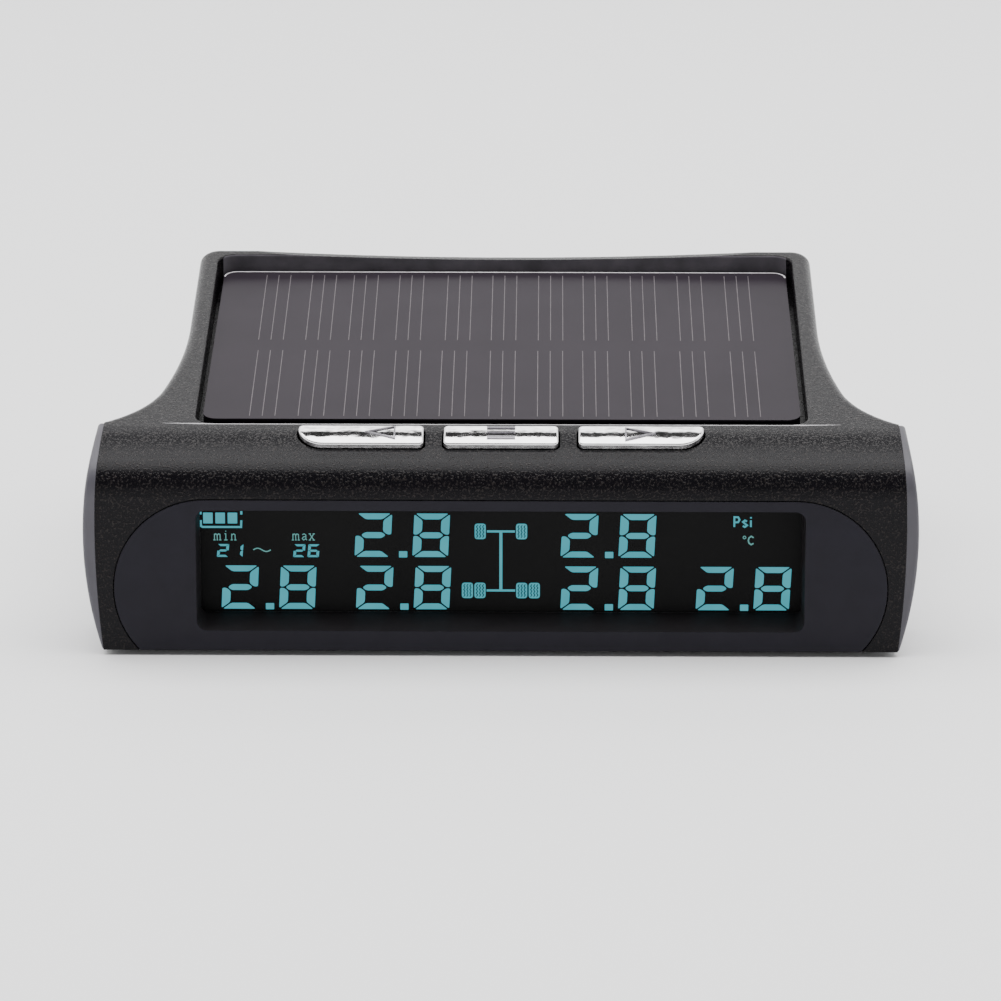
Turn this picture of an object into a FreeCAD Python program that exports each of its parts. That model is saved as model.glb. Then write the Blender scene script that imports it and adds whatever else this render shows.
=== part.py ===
import FreeCAD, Part
import math
import os
import re
import Sketcher

# A tire pressure monitor: a wide display bar with a solar deck behind it.
# +X is the viewer's right, -Y the display side, +Z up; the origin lies under
# the middle of the footprint, on the surface that the monitor rests on.
# "reach" is the distance back from the front bottom edge.

SIZES = {
    # shell
    "depth": 75,
    "foot": 0.8,
    "bar_half": 57.4,
    "shoulder_reach": 1.7,
    "shoulder_height": 27.65,
    "shoulder_radius": 5.4,
    "deck_crest": 11,
    "deck_crown": 30,
    "deck_crown_turn": 12.5,
    "deck_wall": 2.2,
    "deck_wall_front": 6.4,
    "deck_edge": 0.3,
    "top_slope": 9.45,
    "rear_lean": 1.6,
    "end_crown": 142,
    "crown_height": 16.5,
    "waist_half": 46.8,
    "flare_reach": 47.2,
    "flare_long_radius": 90,
    "flare_long_turn": 14,
    "flare_radius": 17,
    "rear_corner_radius": 3,
    "rim_round": 1.5,
    "rear_dip": 1.2,
    "wall": 2,
    "front_wall": 2.6,
    "play": 0.15,
    "bar_tall": 31,
    "overshoot": 5,
    # solar deck
    "panel_slope": 8,
    "tray_front": 14,
    "tray_floor": 26.58,
    "tray_half": 43.9,
    "tray_length": 57.8,
    "tray_corner": 2.6,
    "tray_skin": 1.6,
    "ledge_wall": 1.25,
    "panel_half": 43,
    "panel_front": 3.38,
    "panel_length": 53.4,
    "panel_corner": 2,
    "foam_thick": 0.5,
    "solar_board_thick": 1.2,
    "cell_thick": 0.2,
    "film_thick": 0.3,
    "cell_pitch": 7,
    "cell_gap": 0.3,
    "cell_shift": 0.4,
    "cell_margin": 1,
    "cell_row_gap": 1,
    "lead_spacing": 3,
    "lead_hole_radius": 3,
    "lead_reach": 51,
    # end caps
    "cap_thick": 1.75,
    "cap_crown": 56,
    "cap_edge_round": 0.6,
    "cap_round": 1.6,
    "peg_radius": 1,
    "peg_length": 1.5,
    "peg_root": 0.3,
    "peg_reach": 6,
    "peg_low": 7,
    "peg_high": 18,
    # bezel and window, measured up the front face
    "bezel_half": 54.8,
    "bezel_top": 22,
    "bezel_arc": 13,
    "bezel_thick": 1.3,
    "window_half": 43.1,
    "window_low": 2.9,
    "window_high": 20.5,
    "window_corner": 1.5,
    "window_deep": 5.7,
    "window_draft": 0.2,
    "window_sill_draft": 1.2,
    "tunnel_half": 44.4,
    "tunnel_low": 2.25,
    "tunnel_high": 21.6,
    # display stack, measured into the front face
    "gasket_deep": 6.1,
    "front_glass_deep": 6.8,
    "rear_glass_deep": 7.5,
    "diffuser_deep": 7.7,
    "guide_deep": 9.6,
    "reflector_deep": 9.8,
    "frame_deep": 10.4,
    "display_board_deep": 11.6,
    "glass_half": 43.6,
    "glass_low": 3.2,
    "glass_high": 20.9,
    "lcd_frame_half": 45.2,
    "lcd_frame_low": 2.6,
    "lcd_frame_high": 21.8,
    "guide_half": 41,
    "guide_low": 5,
    "led_middle": 12.5,
    "led_pitch": 5,
    "led_half": 1.4,
    "strip_half": 40,
    "strip_low": 3.5,
    "strip_high": 4.6,
    "display_board_half": 52.4,
    "display_board_high": 21.6,
    "board_boss_side": 50,
    "board_boss_low": 6,
    "board_boss_high": 17,
    "board_boss_radius": 2.2,
    # keys, measured from the plane of the bar's top
    "key_front": 5.2,
    "key_rear": 9.9,
    "key_inner": 11,
    "key_outer": 28.85,
    "menu_half": 8.15,
    "key_proud": 0.8,
    "key_crown": 10,
    "key_crown_reach": 8.4,
    "key_corner": 0.7,
    "key_sweep": 3.6,
    "key_edge": 0.3,
    "key_gap": 0.25,
    "key_flange_top": 2.6,
    "key_flange_low": 3.15,
    "key_flange_front": 5,
    "key_flange_rear": 10.05,
    "key_post_radius": 1.2,
    "key_post_low": 3.7,
    "plunger_low": 4.85,
    "plunger_radius": 0.95,
    "switch_top": 4.25,
    "switch_floor": 5.4,
    "switch_half": 2.2,
    "key_board_top": 5.8,
    "key_board_low": 6.6,
    "key_board_half": 34.6,
    "key_board_front": 5.6,
    "key_board_rear": 10.6,
    "key_middle": 8,
    "key_screw_side": 32.3,
    "key_screw_radius": 0.65,
    "key_boss_radius": 1.5,
    # base
    "base_thick": 1.8,
    "base_front_boss_side": 45,
    "base_front_boss_reach": 18,
    "base_rear_boss_side": 41.4,
    "base_rear_boss_reach": 62,
    "boss_radius": 2.6,
    "screw_radius": 1,
    "screw_head_radius": 1.9,
    "screw_head_thick": 1,
    "screw_length": 7,
    "pad_half": 37.5,
    "pad_front": 7,
    "pad_rear": 69,
    "pad_corner": 4,
    # main board and its parts
    "buzzer_side": -14,
    "buzzer_reach": 19.6,
    "buzzer_radius": 5.5,
    "buzzer_tall": 4,
    "buzzer_mouth": 1.2,
    "sound_pitch": 3,
    "sound_radius": 0.8,
    "ribbon_half": 4,
    "ribbon_thick": 0.35,
    "key_ribbon_reach": 13.1,
    "key_ribbon_low": 6.2,
    "key_ribbon_high": 22.8,
    "ribbon_start": 13.9,
    "ribbon_low": 4.05,
    "ribbon_high": 10.3,
    "ribbon_end": 37.5,
    "main_half": 38,
    "main_front": 36,
    "main_rear": 70,
    "main_low": 12,
    "main_top": 13.2,
    "capacitor_side": 9,
    "capacitor_reach": 62,
    "capacitor_pitch": 4.6,
    "capacitor_tall": 4.4,
    "capacitor_radius": 2,
    "standoff_side": 34.5,
    "standoff_front": 40,
    "standoff_rear": 65.5,
    "standoff_radius": 2.2,
    "battery_half": 27.5,
    "battery_front": 26,
    "battery_rear": 60,
    "battery_low": 2.4,
    "battery_top": 9.9,
    "battery_edge": 2,
    "usb_side": 18,
    "usb_half": 3.9,
    "usb_front": 67.4,
    "usb_rear": 73.6,
    "usb_tall": 2.9,
    "usb_skin": 0.35,
    "usb_corner": 0.75,
    "tongue_half": 2.1,
    "tongue_thick": 0.6,
    "slide_side": -18,
    "slide_half": 4.4,
    "slide_front": 65.6,
    "slide_rear": 70.4,
    "slide_tall": 3.6,
    "knob_half": 1.2,
    "knob_tall": 1.6,
    "knob_travel": 2.2,
    "knob_gap": 0.3,
    "knob_proud": 0.55,
    "wire_radius": 0.55,
}

TOP_LINE = "(shoulder_height + ({0} - shoulder_reach) * tan(top_slope))"
REAR_TOP = TOP_LINE.format("depth - rear_lean")
# The flare is a long arc, then a short one; both centres lie outside the body.
FLARE_TURN = "(flare_long_turn * 1 deg)"
FLARE_POLE = "waist_half + flare_long_radius"
FLARE_KNEE = ("(" + FLARE_POLE + " - (flare_long_radius + {0}) * cos(" + FLARE_TURN + "))",
              "(flare_reach - (flare_long_radius + {0}) * sin(" + FLARE_TURN + "))")
FLARE_CENTRE = ("(" + FLARE_POLE + " - (flare_long_radius - flare_radius) * cos(" + FLARE_TURN + "))",
                "(flare_reach - (flare_long_radius - flare_radius) * sin(" + FLARE_TURN + "))")
FLARE_END = ("(" + FLARE_CENTRE[1] + " - sqrt((flare_radius + {0})^2 - (" + FLARE_CENTRE[0]
             + " - bar_half + {0})^2))")
BAR_REAR = FLARE_END.format("0")
# In front of the crest the deck bends down along an arc, then runs straight to the shoulder.
FACE_SLOPE = "(shoulder_reach / shoulder_height)"
CREST_REACH = "(shoulder_reach + deck_crest * cos(top_slope))"
CREST_HEIGHT = TOP_LINE.format(CREST_REACH)
SHOULDER_SLOPE = "(top_slope + deck_crown_turn)"
BEND_REACH = f"({CREST_REACH} + deck_crown * (sin(top_slope) - sin({SHOULDER_SLOPE})))"
BEND_HEIGHT = f"({CREST_HEIGHT} - deck_crown * (cos(top_slope) - cos({SHOULDER_SLOPE})))"
BEND_RUN = (f"(({BEND_REACH} - {FACE_SLOPE} * {BEND_HEIGHT})"
            f" / (1 - {FACE_SLOPE} * tan({SHOULDER_SLOPE})))")
SHOULDER_REACH = f"({BEND_REACH} - {BEND_RUN})"
SHOULDER_HEIGHT = f"({BEND_HEIGHT} - {BEND_RUN} * tan({SHOULDER_SLOPE}))"
DECK_FRONT = [(CREST_REACH, CREST_HEIGHT, "deck_crown"), (BEND_REACH, BEND_HEIGHT),
              (SHOULDER_REACH, SHOULDER_HEIGHT)]
FACE_LEAN = "atan(shoulder_reach / shoulder_height)"
PANEL_TOP = "(foam_thick + solar_board_thick + cell_thick + film_thick)"

# name: (reach of its origin, height of its origin, turn about X)
FRAMES = {
    "shell": ("0", "0", "0"),
    "face": ("0", "0", "90 deg - " + FACE_LEAN),
    "top": ("shoulder_reach", "shoulder_height", "top_slope"),
    "tray": ("tray_front", "tray_floor", "panel_slope"),
}

KEYS = {"left": -1, "menu": 0, "right": 1}

doc = FreeCAD.newDocument("tire_pressure_monitor")
sheet = doc.addObject("Spreadsheet::Sheet", "Size")
for row, (alias, number) in enumerate(SIZES.items(), 1):
    sheet.set(f"A{row}", alias)
    sheet.set(f"B{row}", str(number))
    sheet.setAlias(f"B{row}", alias)
doc.recompute()

nodes = []


# ---------------------------------------------------------------- helpers

def bound(text):
    """An expression on the sheet's cells, from one on their bare names."""
    def cell(match):
        word = match.group()
        return "Size." + word if word in SIZES else word
    return re.sub(r"[a-z][a-z_0-9]*", cell, str(text))


def value(text):
    return float(sheet.evalExpression(bound(text)))


def bind(thing, prop, text):
    thing.setExpression(prop, bound(text))


def minus(text):
    return f"-({text})"


def place(thing, frame, x="0", y="0", z="0"):
    """Puts a thing at a point of a frame, turned with the frame."""
    reach, height, turn = FRAMES[frame]
    thing.Placement = FreeCAD.Placement(FreeCAD.Vector(), FreeCAD.Rotation(FreeCAD.Vector(1, 0, 0), 1))
    bind(thing, "Placement.Base.x", x)
    bind(thing, "Placement.Base.y", f"{reach} - depth / 2 + ({y}) * cos({turn}) - ({z}) * sin({turn})")
    bind(thing, "Placement.Base.z", f"{height} + foot + ({y}) * sin({turn}) + ({z}) * cos({turn})")
    bind(thing, "Placement.Rotation.Angle", turn)
    return thing


def keep(thing, name):
    thing.Label = name
    nodes.append(thing)
    return thing


def rectangle(x0, x1, y0, y1):
    return [(x0, y0), (x1, y0), (x1, y1), (x0, y1)]


def rounded(x0, x1, y0, y1, radius):
    return [
        (f"{x0} + {radius}", y0), (f"{x1} - {radius}", y0, radius),
        (x1, f"{y0} + {radius}"), (x1, f"{y1} - {radius}", radius),
        (f"{x1} - {radius}", y1), (f"{x0} + {radius}", y1, radius),
        (x0, f"{y1} - {radius}"), (x0, f"{y0} + {radius}", radius),
    ]


def pin(sketch, name, geometry, point, x, y):
    """Holds a sketch point at (x, y) by expressions, or on an axis at zero."""
    for axis, kind, text in ((-2, "DistanceX", x), (-1, "DistanceY", y)):
        number = value(text)
        if abs(number) < 1e-9:
            sketch.addConstraint(Sketcher.Constraint("PointOnObject", geometry, point, axis))
            continue
        index = sketch.addConstraint(Sketcher.Constraint(kind, -1, 1, geometry, point, number))
        sketch.renameConstraint(index, f"{name}_{kind}")
        bind(sketch, f"Constraints.{name}_{kind}", text)


def arc_between(start, end, radius):
    """The short counterclockwise arc from one point to another."""
    chord = end - start
    middle = (start + end) * 0.5
    left = FreeCAD.Vector(-chord.y, chord.x, 0).normalize()
    centre = middle + left * math.sqrt(max(radius ** 2 - chord.Length ** 2 / 4, 0))
    return Part.Arc(start, centre - left * radius, end)


def draw(sketch, outlines):
    """Closed outlines: a corner's third item is the radius of the arc that leaves it,
    with its centre on the left of the way round, or on the right when negative."""
    for number, outline in enumerate(outlines):
        points = [FreeCAD.Vector(value(p[0]), value(p[1]), 0) for p in outline]
        first = sketch.GeometryCount
        ends = []
        for index, point in enumerate(outline):
            start = points[index]
            end = points[(index + 1) % len(points)]
            if len(point) == 3:
                radius = value(point[2])
                clockwise = radius < 0
                ends.append((2, 1) if clockwise else (1, 2))
                sketch.addGeometry(arc_between(end, start, -radius) if clockwise
                                   else arc_between(start, end, radius))
            else:
                sketch.addGeometry(Part.LineSegment(start, end))
                ends.append((1, 2))
        count = len(outline)
        for index, point in enumerate(outline):
            here = first + index
            after = first + (index + 1) % count
            sketch.addConstraint(Sketcher.Constraint("Coincident", here, ends[index][1],
                                                     after, ends[(index + 1) % count][0]))
            pin(sketch, f"o{number}_{index}", here, ends[index][0], point[0], point[1])
            if len(point) == 3:
                size = sketch.addConstraint(Sketcher.Constraint("Radius", here, abs(value(point[2]))))
                sketch.renameConstraint(size, f"o{number}_{index}_radius")
                bind(sketch, f"Constraints.o{number}_{index}_radius", f"abs({point[2]})")


def new_body(name):
    return doc.addObject("PartDesign::Body", name + "_body")


def new_sketch(body, name, plane, outlines, offset="0", tilt=None):
    """A sketch on one of the body's origin planes, moved along its normal or tilted about X."""
    sketch = body.newObject("Sketcher::SketchObject", name)
    origin_plane = next(f for f in body.Origin.OriginFeatures if f.Role == plane)
    sketch.AttachmentSupport = [(origin_plane, "")]
    sketch.MapMode = "FlatFace"
    if tilt:
        reach, height, turn = tilt
        sketch.AttachmentOffset = FreeCAD.Placement(
            FreeCAD.Vector(), FreeCAD.Rotation(FreeCAD.Vector(1, 0, 0), 1))
        bind(sketch, "AttachmentOffset.Base.y", reach)
        bind(sketch, "AttachmentOffset.Base.z", height)
        bind(sketch, "AttachmentOffset.Rotation.Angle", turn)
    else:
        bind(sketch, "AttachmentOffset.Base.z", offset)
    draw(sketch, outlines)
    doc.recompute()
    return sketch


def add_feature(body, kind, name, sketch, length, both_ways=False, backwards=False):
    feature = body.newObject("PartDesign::" + kind, name)
    feature.Profile = sketch
    bind(feature, "Length", length)
    if both_ways:
        feature.SideType = "Symmetric"
    feature.Reversed = backwards
    doc.recompute()
    if kind == "Pocket" and not feature.Shape.Volume < feature.BaseFeature.Shape.Volume - 1e-6:
        raise ValueError(f"{name} cuts nothing")
    return feature


def prism(name, frame, outlines, low, high, plane="XY_Plane"):
    """A body padded from one level to another along its sketch plane's normal."""
    body = new_body(name)
    sketch = new_sketch(body, name + "_outline", plane, outlines, low)
    add_feature(body, "Pad", name + "_pad", sketch, f"{high} - ({low})")
    place(body, frame)
    return body


def round_edges(body, name, size, test):
    """Fillets the body's edges whose middle passes a test."""
    base = body.Tip
    shape = base.Shape
    chosen = []
    for index, edge in enumerate(shape.Edges, 1):
        middle = edge.valueAt((edge.FirstParameter + edge.LastParameter) / 2)
        if test(middle, edge):
            chosen.append(f"Edge{index}")
    if not chosen:
        raise ValueError(f"{name} finds no edge")
    feature = body.newObject("PartDesign::Fillet", name)
    feature.Base = (base, chosen)
    bind(feature, "Radius", size)
    doc.recompute()
    return feature


def block(name, frame, x, y, z):
    """A box between pairs of limits along a frame's three axes."""
    box = doc.addObject("Part::Box", name)
    bind(box, "Length", f"{x[1]} - ({x[0]})")
    bind(box, "Width", f"{y[1]} - ({y[0]})")
    bind(box, "Height", f"{z[1]} - ({z[0]})")
    return place(box, frame, x[0], y[0], z[0])


def around(middle, half):
    return (f"{middle} - ({half})", f"{middle} + ({half})")


def drum(name, frame, x, y, z, radius):
    """A cylinder between two levels along a frame's Z."""
    cylinder = doc.addObject("Part::Cylinder", name)
    bind(cylinder, "Radius", radius)
    bind(cylinder, "Height", f"{z[1]} - ({z[0]})")
    return place(cylinder, frame, x, y, z[0])


def sideways(side):
    """Turns a cylinder to point out of the bar's left or right end."""
    return FreeCAD.Rotation(FreeCAD.Vector(0, 1, 0), 90 * side)


def fuse(name, parts):
    if len(parts) == 1:
        return parts[0]
    result = doc.addObject("Part::MultiFuse", name)
    result.Shapes = parts
    return result


def cut(name, base, tools):
    result = doc.addObject("Part::Cut", name)
    result.Base = base
    result.Tool = fuse(name + "_tools", tools)
    return result


def group(name, parts):
    """Separate solids kept in one node."""
    result = doc.addObject("Part::Compound", name)
    result.Links = parts
    return keep(result, name)


def shell_point(x, y, z):
    return FreeCAD.Vector(value(x), value(y) - value("depth") / 2, value(z) + value("foot"))


def frame_point(frame, x, y, z):
    """A point of a frame, in the model's coordinates."""
    reach, height, turn = (value(item) for item in FRAMES[frame])
    local = FreeCAD.Vector(value(x), value(y), value(z))
    turned = FreeCAD.Rotation(FreeCAD.Vector(1, 0, 0), turn).multVec(local)
    return turned + FreeCAD.Vector(0, reach - value("depth") / 2, height + value("foot"))


def wire(name, points, radius):
    """A round wire along straight runs joined by tangent arcs."""
    edges = []
    start = points[0]
    for index in range(1, len(points) - 1):
        before, here, after = points[index - 1], points[index], points[index + 1]
        into = (here - before).normalize()
        out = (after - here).normalize()
        turn = into.getAngle(out)
        trim = 0.45 * min((here - before).Length, (after - here).Length)
        bend = trim / math.tan(turn / 2)
        print(f"{name} bend {index}: radius {bend:.2f}")
        arc_start = here - into * trim
        arc_end = here + out * trim
        inward = (out - into).normalize()
        centre = here + inward * (bend / math.cos(turn / 2))
        crown = centre - inward * bend
        edges.append(Part.LineSegment(start, arc_start).toShape())
        edges.append(Part.Arc(arc_start, crown, arc_end).toShape())
        start = arc_end
    edges.append(Part.LineSegment(start, points[-1]).toShape())
    path = Part.Wire(edges)
    section = Part.Wire(Part.makeCircle(radius, points[0], points[1] - points[0]))
    solid = path.makePipeShell([section], True, True)
    ideal = math.pi * radius ** 2 * path.Length
    if abs(solid.Volume - ideal) > 0.01 * ideal:
        raise ValueError(f"{name} has the wrong volume")
    thing = doc.addObject("Part::Feature", name)
    thing.Shape = solid
    thing.Placement = FreeCAD.Placement()
    return keep(thing, name)


# ---------------------------------------------------------------- shell

def near(number, text, slack=0.05):
    return abs(number - value(text)) < slack


def flare_line(side, inset):
    """One flare from the deck's side out to the bar's end, moved inwards by inset."""
    knee_x, knee_y = (text.format(inset) for text in FLARE_KNEE)
    return [(f"{side} * (waist_half - {inset})", "flare_reach", f"{side} * (flare_long_radius + {inset})"),
            (f"{side} * {knee_x}", knee_y, f"{side} * (flare_radius + {inset})"),
            (f"{side} * (bar_half - {inset})", FLARE_END.format(inset))]


def backwards(line):
    """The same line drawn from its other end, with each arc's turn reversed."""
    ends = [point[:2] for point in line][::-1]
    turns = [point[2:] for point in line[:-1]][::-1] + [()]
    return [end + tuple(minus(turn) for turn in turns_here) for end, turns_here in zip(ends, turns)]


def flare_outline(side, inset):
    """The waste beside one flare: the bar narrows to the deck along a hollow curve."""
    outside = f"{side} * (bar_half + overshoot)"
    return flare_line(side, inset) + [
        (outside, FLARE_END.format(inset)), (outside, "depth + overshoot"),
        (f"{side} * (waist_half - {inset})", "depth + overshoot")]


CROWN_LOW, CROWN_HIGH = "-overshoot", "(bar_tall + overshoot)"


def crown_half(crown, half, height):
    """Half the width, at a height, of a bar whose ends bulge at the crown height."""
    return f"({half} - {crown} + sqrt({crown}^2 - ({height} - crown_height)^2))"


def crown_outline(side, crown, half):
    """The waste outside one bulging end."""
    outside = f"{side} * (bar_half + overshoot)"
    return [(f"{side} * {crown_half(crown, half, CROWN_LOW)}", CROWN_LOW),
            (outside, CROWN_LOW), (outside, CROWN_HIGH),
            (f"{side} * {crown_half(crown, half, CROWN_HIGH)}", CROWN_HIGH, f"-{side} * {crown}")]


def make_outer_shell():
    body = new_body("outer_shell")
    side = new_sketch(body, "side_outline", "YZ_Plane", [[
        ("0", "0"), ("depth", "0"), ("depth - rear_lean", REAR_TOP)] + DECK_FRONT])
    add_feature(body, "Pad", "side_pad", side, "2 * bar_half", both_ways=True)
    waste = new_sketch(body, "flare_waste", "XY_Plane", [flare_outline(1, "0"), flare_outline(-1, "0")])
    add_feature(body, "Pocket", "flare_cut", waste, "depth", backwards=True)
    round_edges(body, "shoulder_round", "shoulder_radius",
                lambda p, e: near(p.y, SHOULDER_REACH) and near(p.z, SHOULDER_HEIGHT))
    round_edges(body, "rear_corners", "rear_corner_radius",
                lambda p, e: near(abs(p.x), "waist_half") and p.y > value("depth - rear_lean")
                and near(p.z, REAR_TOP + " / 2", 1))
    dip_half = "(tray_half - 1)"
    dip_radius = f"(({dip_half}^2 + rear_dip^2) / (2 * rear_dip))"
    dip = new_sketch(body, "dip_outline", "XZ_Plane", [[
        (minus(dip_half), REAR_TOP, dip_radius), (dip_half, REAR_TOP),
        (dip_half, REAR_TOP + " + 5"), (minus(dip_half), REAR_TOP + " + 5")]])
    add_feature(body, "Pocket", "dip_cut", dip, "depth + 5", backwards=False)
    tray = new_sketch(body, "tray_outline", "XY_Plane", [
        rounded("-tray_half", "tray_half", "0", "tray_length", "tray_corner")], tilt=FRAMES["tray"])
    add_feature(body, "Pocket", "tray_cut", tray, "20", backwards=True)
    round_edges(body, "deck_edge_round", "deck_edge",
                lambda p, e: abs(p.x) < 1 and value("tray_front - 1") < p.y < value("tray_front")
                and p.z > value("tray_floor + 2"))
    return body


def round_rims(body):
    """The soft outer edge that runs up one flare, around the back and down the other."""
    def on_rim(p, e):
        top = value(TOP_LINE.format(p.y))
        if p.y < value(BAR_REAR) + 1 or p.z < top - value("rear_dip") - 0.3:
            return False
        outside = abs(p.x) > value("waist_half - 0.5") or p.y > value("depth - rear_lean") - 0.6
        return outside and e.Length > 2
    round_edges(body, "rim_outer_round", "rim_round", on_rim)


def crown_ends(body):
    """Cuts the bar's ends to a gentle bulge, where the caps sit."""
    waste = new_sketch(body, "crown_waste", "XZ_Plane", [
        crown_outline(1, "end_crown", "bar_half"), crown_outline(-1, "end_crown", "bar_half")], "1")
    add_feature(body, "Pocket", "crown_cut", waste, "depth + 2", backwards=False)


def make_cavity():
    """The hollow of the shell, open at the bottom."""
    body = new_body("cavity")
    lean = "shoulder_reach / shoulder_height"
    under_tray = "(tray_floor + ({0} - tray_front) * tan(panel_slope) - tray_skin)"
    ledge_inner = "(tray_front - ledge_wall)"
    side = new_sketch(body, "cavity_side", "YZ_Plane", [[
        (f"front_wall - {lean}", "-1"),
        ("depth - wall", "-1"),
        ("depth - rear_lean - wall * 1.1", under_tray.format("(depth - rear_lean - wall * 1.1)")),
        (ledge_inner, under_tray.format(ledge_inner)),
        (ledge_inner, TOP_LINE.format(ledge_inner) + " - deck_wall"),
        ("deck_wall_front", TOP_LINE.format("deck_wall_front") + " - deck_wall"),
        (f"front_wall + 22 * {lean}", "22"),
    ]])
    add_feature(body, "Pad", "cavity_pad", side, "2 * (bar_half - wall)", both_ways=True)
    flares = [flare_outline(side, "wall") for side in (1, -1)]
    waste = new_sketch(body, "cavity_waste", "XY_Plane", flares, "-2")
    add_feature(body, "Pocket", "cavity_flares", waste, "depth", backwards=True)
    return body


def bezel_outline(grow):
    """A long panel with big round ends, cut off straight at the bottom."""
    arc = f"(bezel_arc + {grow})"
    middle = "(bezel_half - bezel_arc)"
    rise = "(bezel_top - bezel_arc)"
    foot_half = f"({middle} + sqrt({arc}^2 - {rise}^2))"
    return [(minus(foot_half), "0"), (foot_half, "0", arc), (f"{middle} + {arc}", rise, arc),
            (middle, f"bezel_top + {grow}"), (minus(middle), f"bezel_top + {grow}", arc),
            (minus(f"{middle} + {arc}"), rise, arc)]


def key_outline(side, grow="0", front="key_front", rear="key_rear", square=False):
    """A key's outline: the outer front corner of a side key is one long sweep."""
    low = f"({front} - {grow})"
    high = f"({rear} + {grow})"
    corner = f"(key_corner + {grow})"
    if side == 0:
        return rounded(f"(-menu_half - {grow})", f"(menu_half + {grow})", low, high, corner)
    inner = f"(key_inner - {grow})"
    outer = f"(key_outer + {grow})"
    sweep = corner if square else f"(key_sweep + {grow})"
    points = [
        (f"{inner} + {corner}", low), (f"{outer} - {sweep}", low, sweep),
        (outer, f"{low} + {sweep}"), (outer, f"{high} - {corner}", corner),
        (f"{outer} - {corner}", high), (f"{inner} + {corner}", high, corner),
        (inner, f"{high} - {corner}"), (inner, f"{low} + {corner}", corner),
    ]
    if side > 0:
        return points
    return [(minus(p[0]), p[1]) + tuple(minus(r) for r in p[2:]) for p in points]


def shell_openings():
    tools = [prism("bezel_seat", "face", [bezel_outline("play")], "-(bezel_thick + 0.1)", "4")]
    tools.append(prism("window_way", "face", [
        rectangle("-(tunnel_half + play)", "tunnel_half + play", "tunnel_low - play",
                  "tunnel_high + play")], "-6", "1"))
    for name, side in KEYS.items():
        tools.append(prism(name + "_key_slot", "top", [key_outline(side, "key_gap")],
                           "-(key_flange_top + 1.6)", "4"))
    for side, label in ((-1, "left"), (1, "right")):
        for spot in ("low", "high"):
            tool = doc.addObject("Part::Cylinder", f"{label}_{spot}_peg_hole")
            bind(tool, "Radius", "peg_radius + play")
            bind(tool, "Height", "peg_length + 0.4")
            tool.Placement = FreeCAD.Placement(FreeCAD.Vector(), sideways(side))
            bind(tool, "Placement.Base.x", f"{side} * (bar_half - peg_length - peg_root)")
            bind(tool, "Placement.Base.y", "peg_reach - depth / 2")
            bind(tool, "Placement.Base.z", f"peg_{spot} + foot")
            tools.append(tool)
    usb = rounded("usb_side - usb_half - 0.4", "usb_side + usb_half + 0.4", "main_top - 0.3",
                  "main_top + usb_tall + 0.4", "0.8")
    tools.append(prism("usb_opening", "shell", [usb], minus("depth + 2"), minus("depth - 5"), "XZ_Plane"))
    knob = rectangle("slide_side - knob_travel / 2 - knob_half - knob_gap",
                     "slide_side + knob_travel / 2 + knob_half + knob_gap",
                     "main_top + slide_tall / 2 - knob_tall / 2 - knob_gap",
                     "main_top + slide_tall / 2 + knob_tall / 2 + knob_gap")
    tools.append(prism("knob_opening", "shell", [knob], minus("depth + 2"), minus("depth - 5"), "XZ_Plane"))
    tools.append(drum("lead_hole", "tray", "0", "lead_reach", ("-6", "2"), "lead_hole_radius"))
    return tools


def base_boss_spots():
    for side in (-1, 1):
        yield f"{side} * base_front_boss_side", "base_front_boss_reach"
        yield f"{side} * base_rear_boss_side", "base_rear_boss_reach"


def board_boss_spots():
    for side in (-1, 1):
        for height in ("board_boss_low", "board_boss_high"):
            yield f"{side} * board_boss_side", height


def shell_bosses():
    parts = []
    for index, (x, y) in enumerate(base_boss_spots()):
        top = f"tray_floor + ({y} - tray_front) * tan(panel_slope) - tray_skin + 0.4"
        boss = drum(f"base_boss_{index}", "shell", x, y, ("base_thick", top), "boss_radius")
        hole = drum(f"base_boss_hole_{index}", "shell", x, y, ("base_thick - 1", "base_thick + screw_length"),
                    "screw_radius")
        parts.append(cut(f"base_boss_bored_{index}", boss, [hole]))
    for index, (x, y) in enumerate(board_boss_spots()):
        boss = drum(f"board_boss_{index}", "face", x, y, ("-frame_deep", "-front_wall + 0.5"),
                    "board_boss_radius")
        hole = drum(f"board_boss_hole_{index}", "face", x, y, ("-frame_deep - 1", "-frame_deep + 4.5"),
                    "screw_radius")
        parts.append(cut(f"board_boss_bored_{index}", boss, [hole]))
    for side in (-1, 1):
        x = f"{side} * key_screw_side"
        boss = drum(f"key_boss_{side + 1}", "top", x, "key_middle", ("-key_board_top", "-wall + 0.6"),
                    "key_boss_radius")
        hole = drum(f"key_boss_hole_{side + 1}", "top", x, "key_middle",
                    ("-key_board_top - 1", "-wall - 0.6"), "key_screw_radius + 0.05")
        parts.append(cut(f"key_boss_bored_{side + 1}", boss, [hole]))
    return parts


def make_upper_housing():
    outer = make_outer_shell()
    round_rims(outer)
    crown_ends(outer)
    place(outer, "shell")
    hollow = cut("hollow_shell", outer, [place(make_cavity(), "shell")] + shell_openings())
    doc.recompute()
    keep(fuse("housing_with_bosses", [hollow] + shell_bosses()), "upper_housing")


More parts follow.
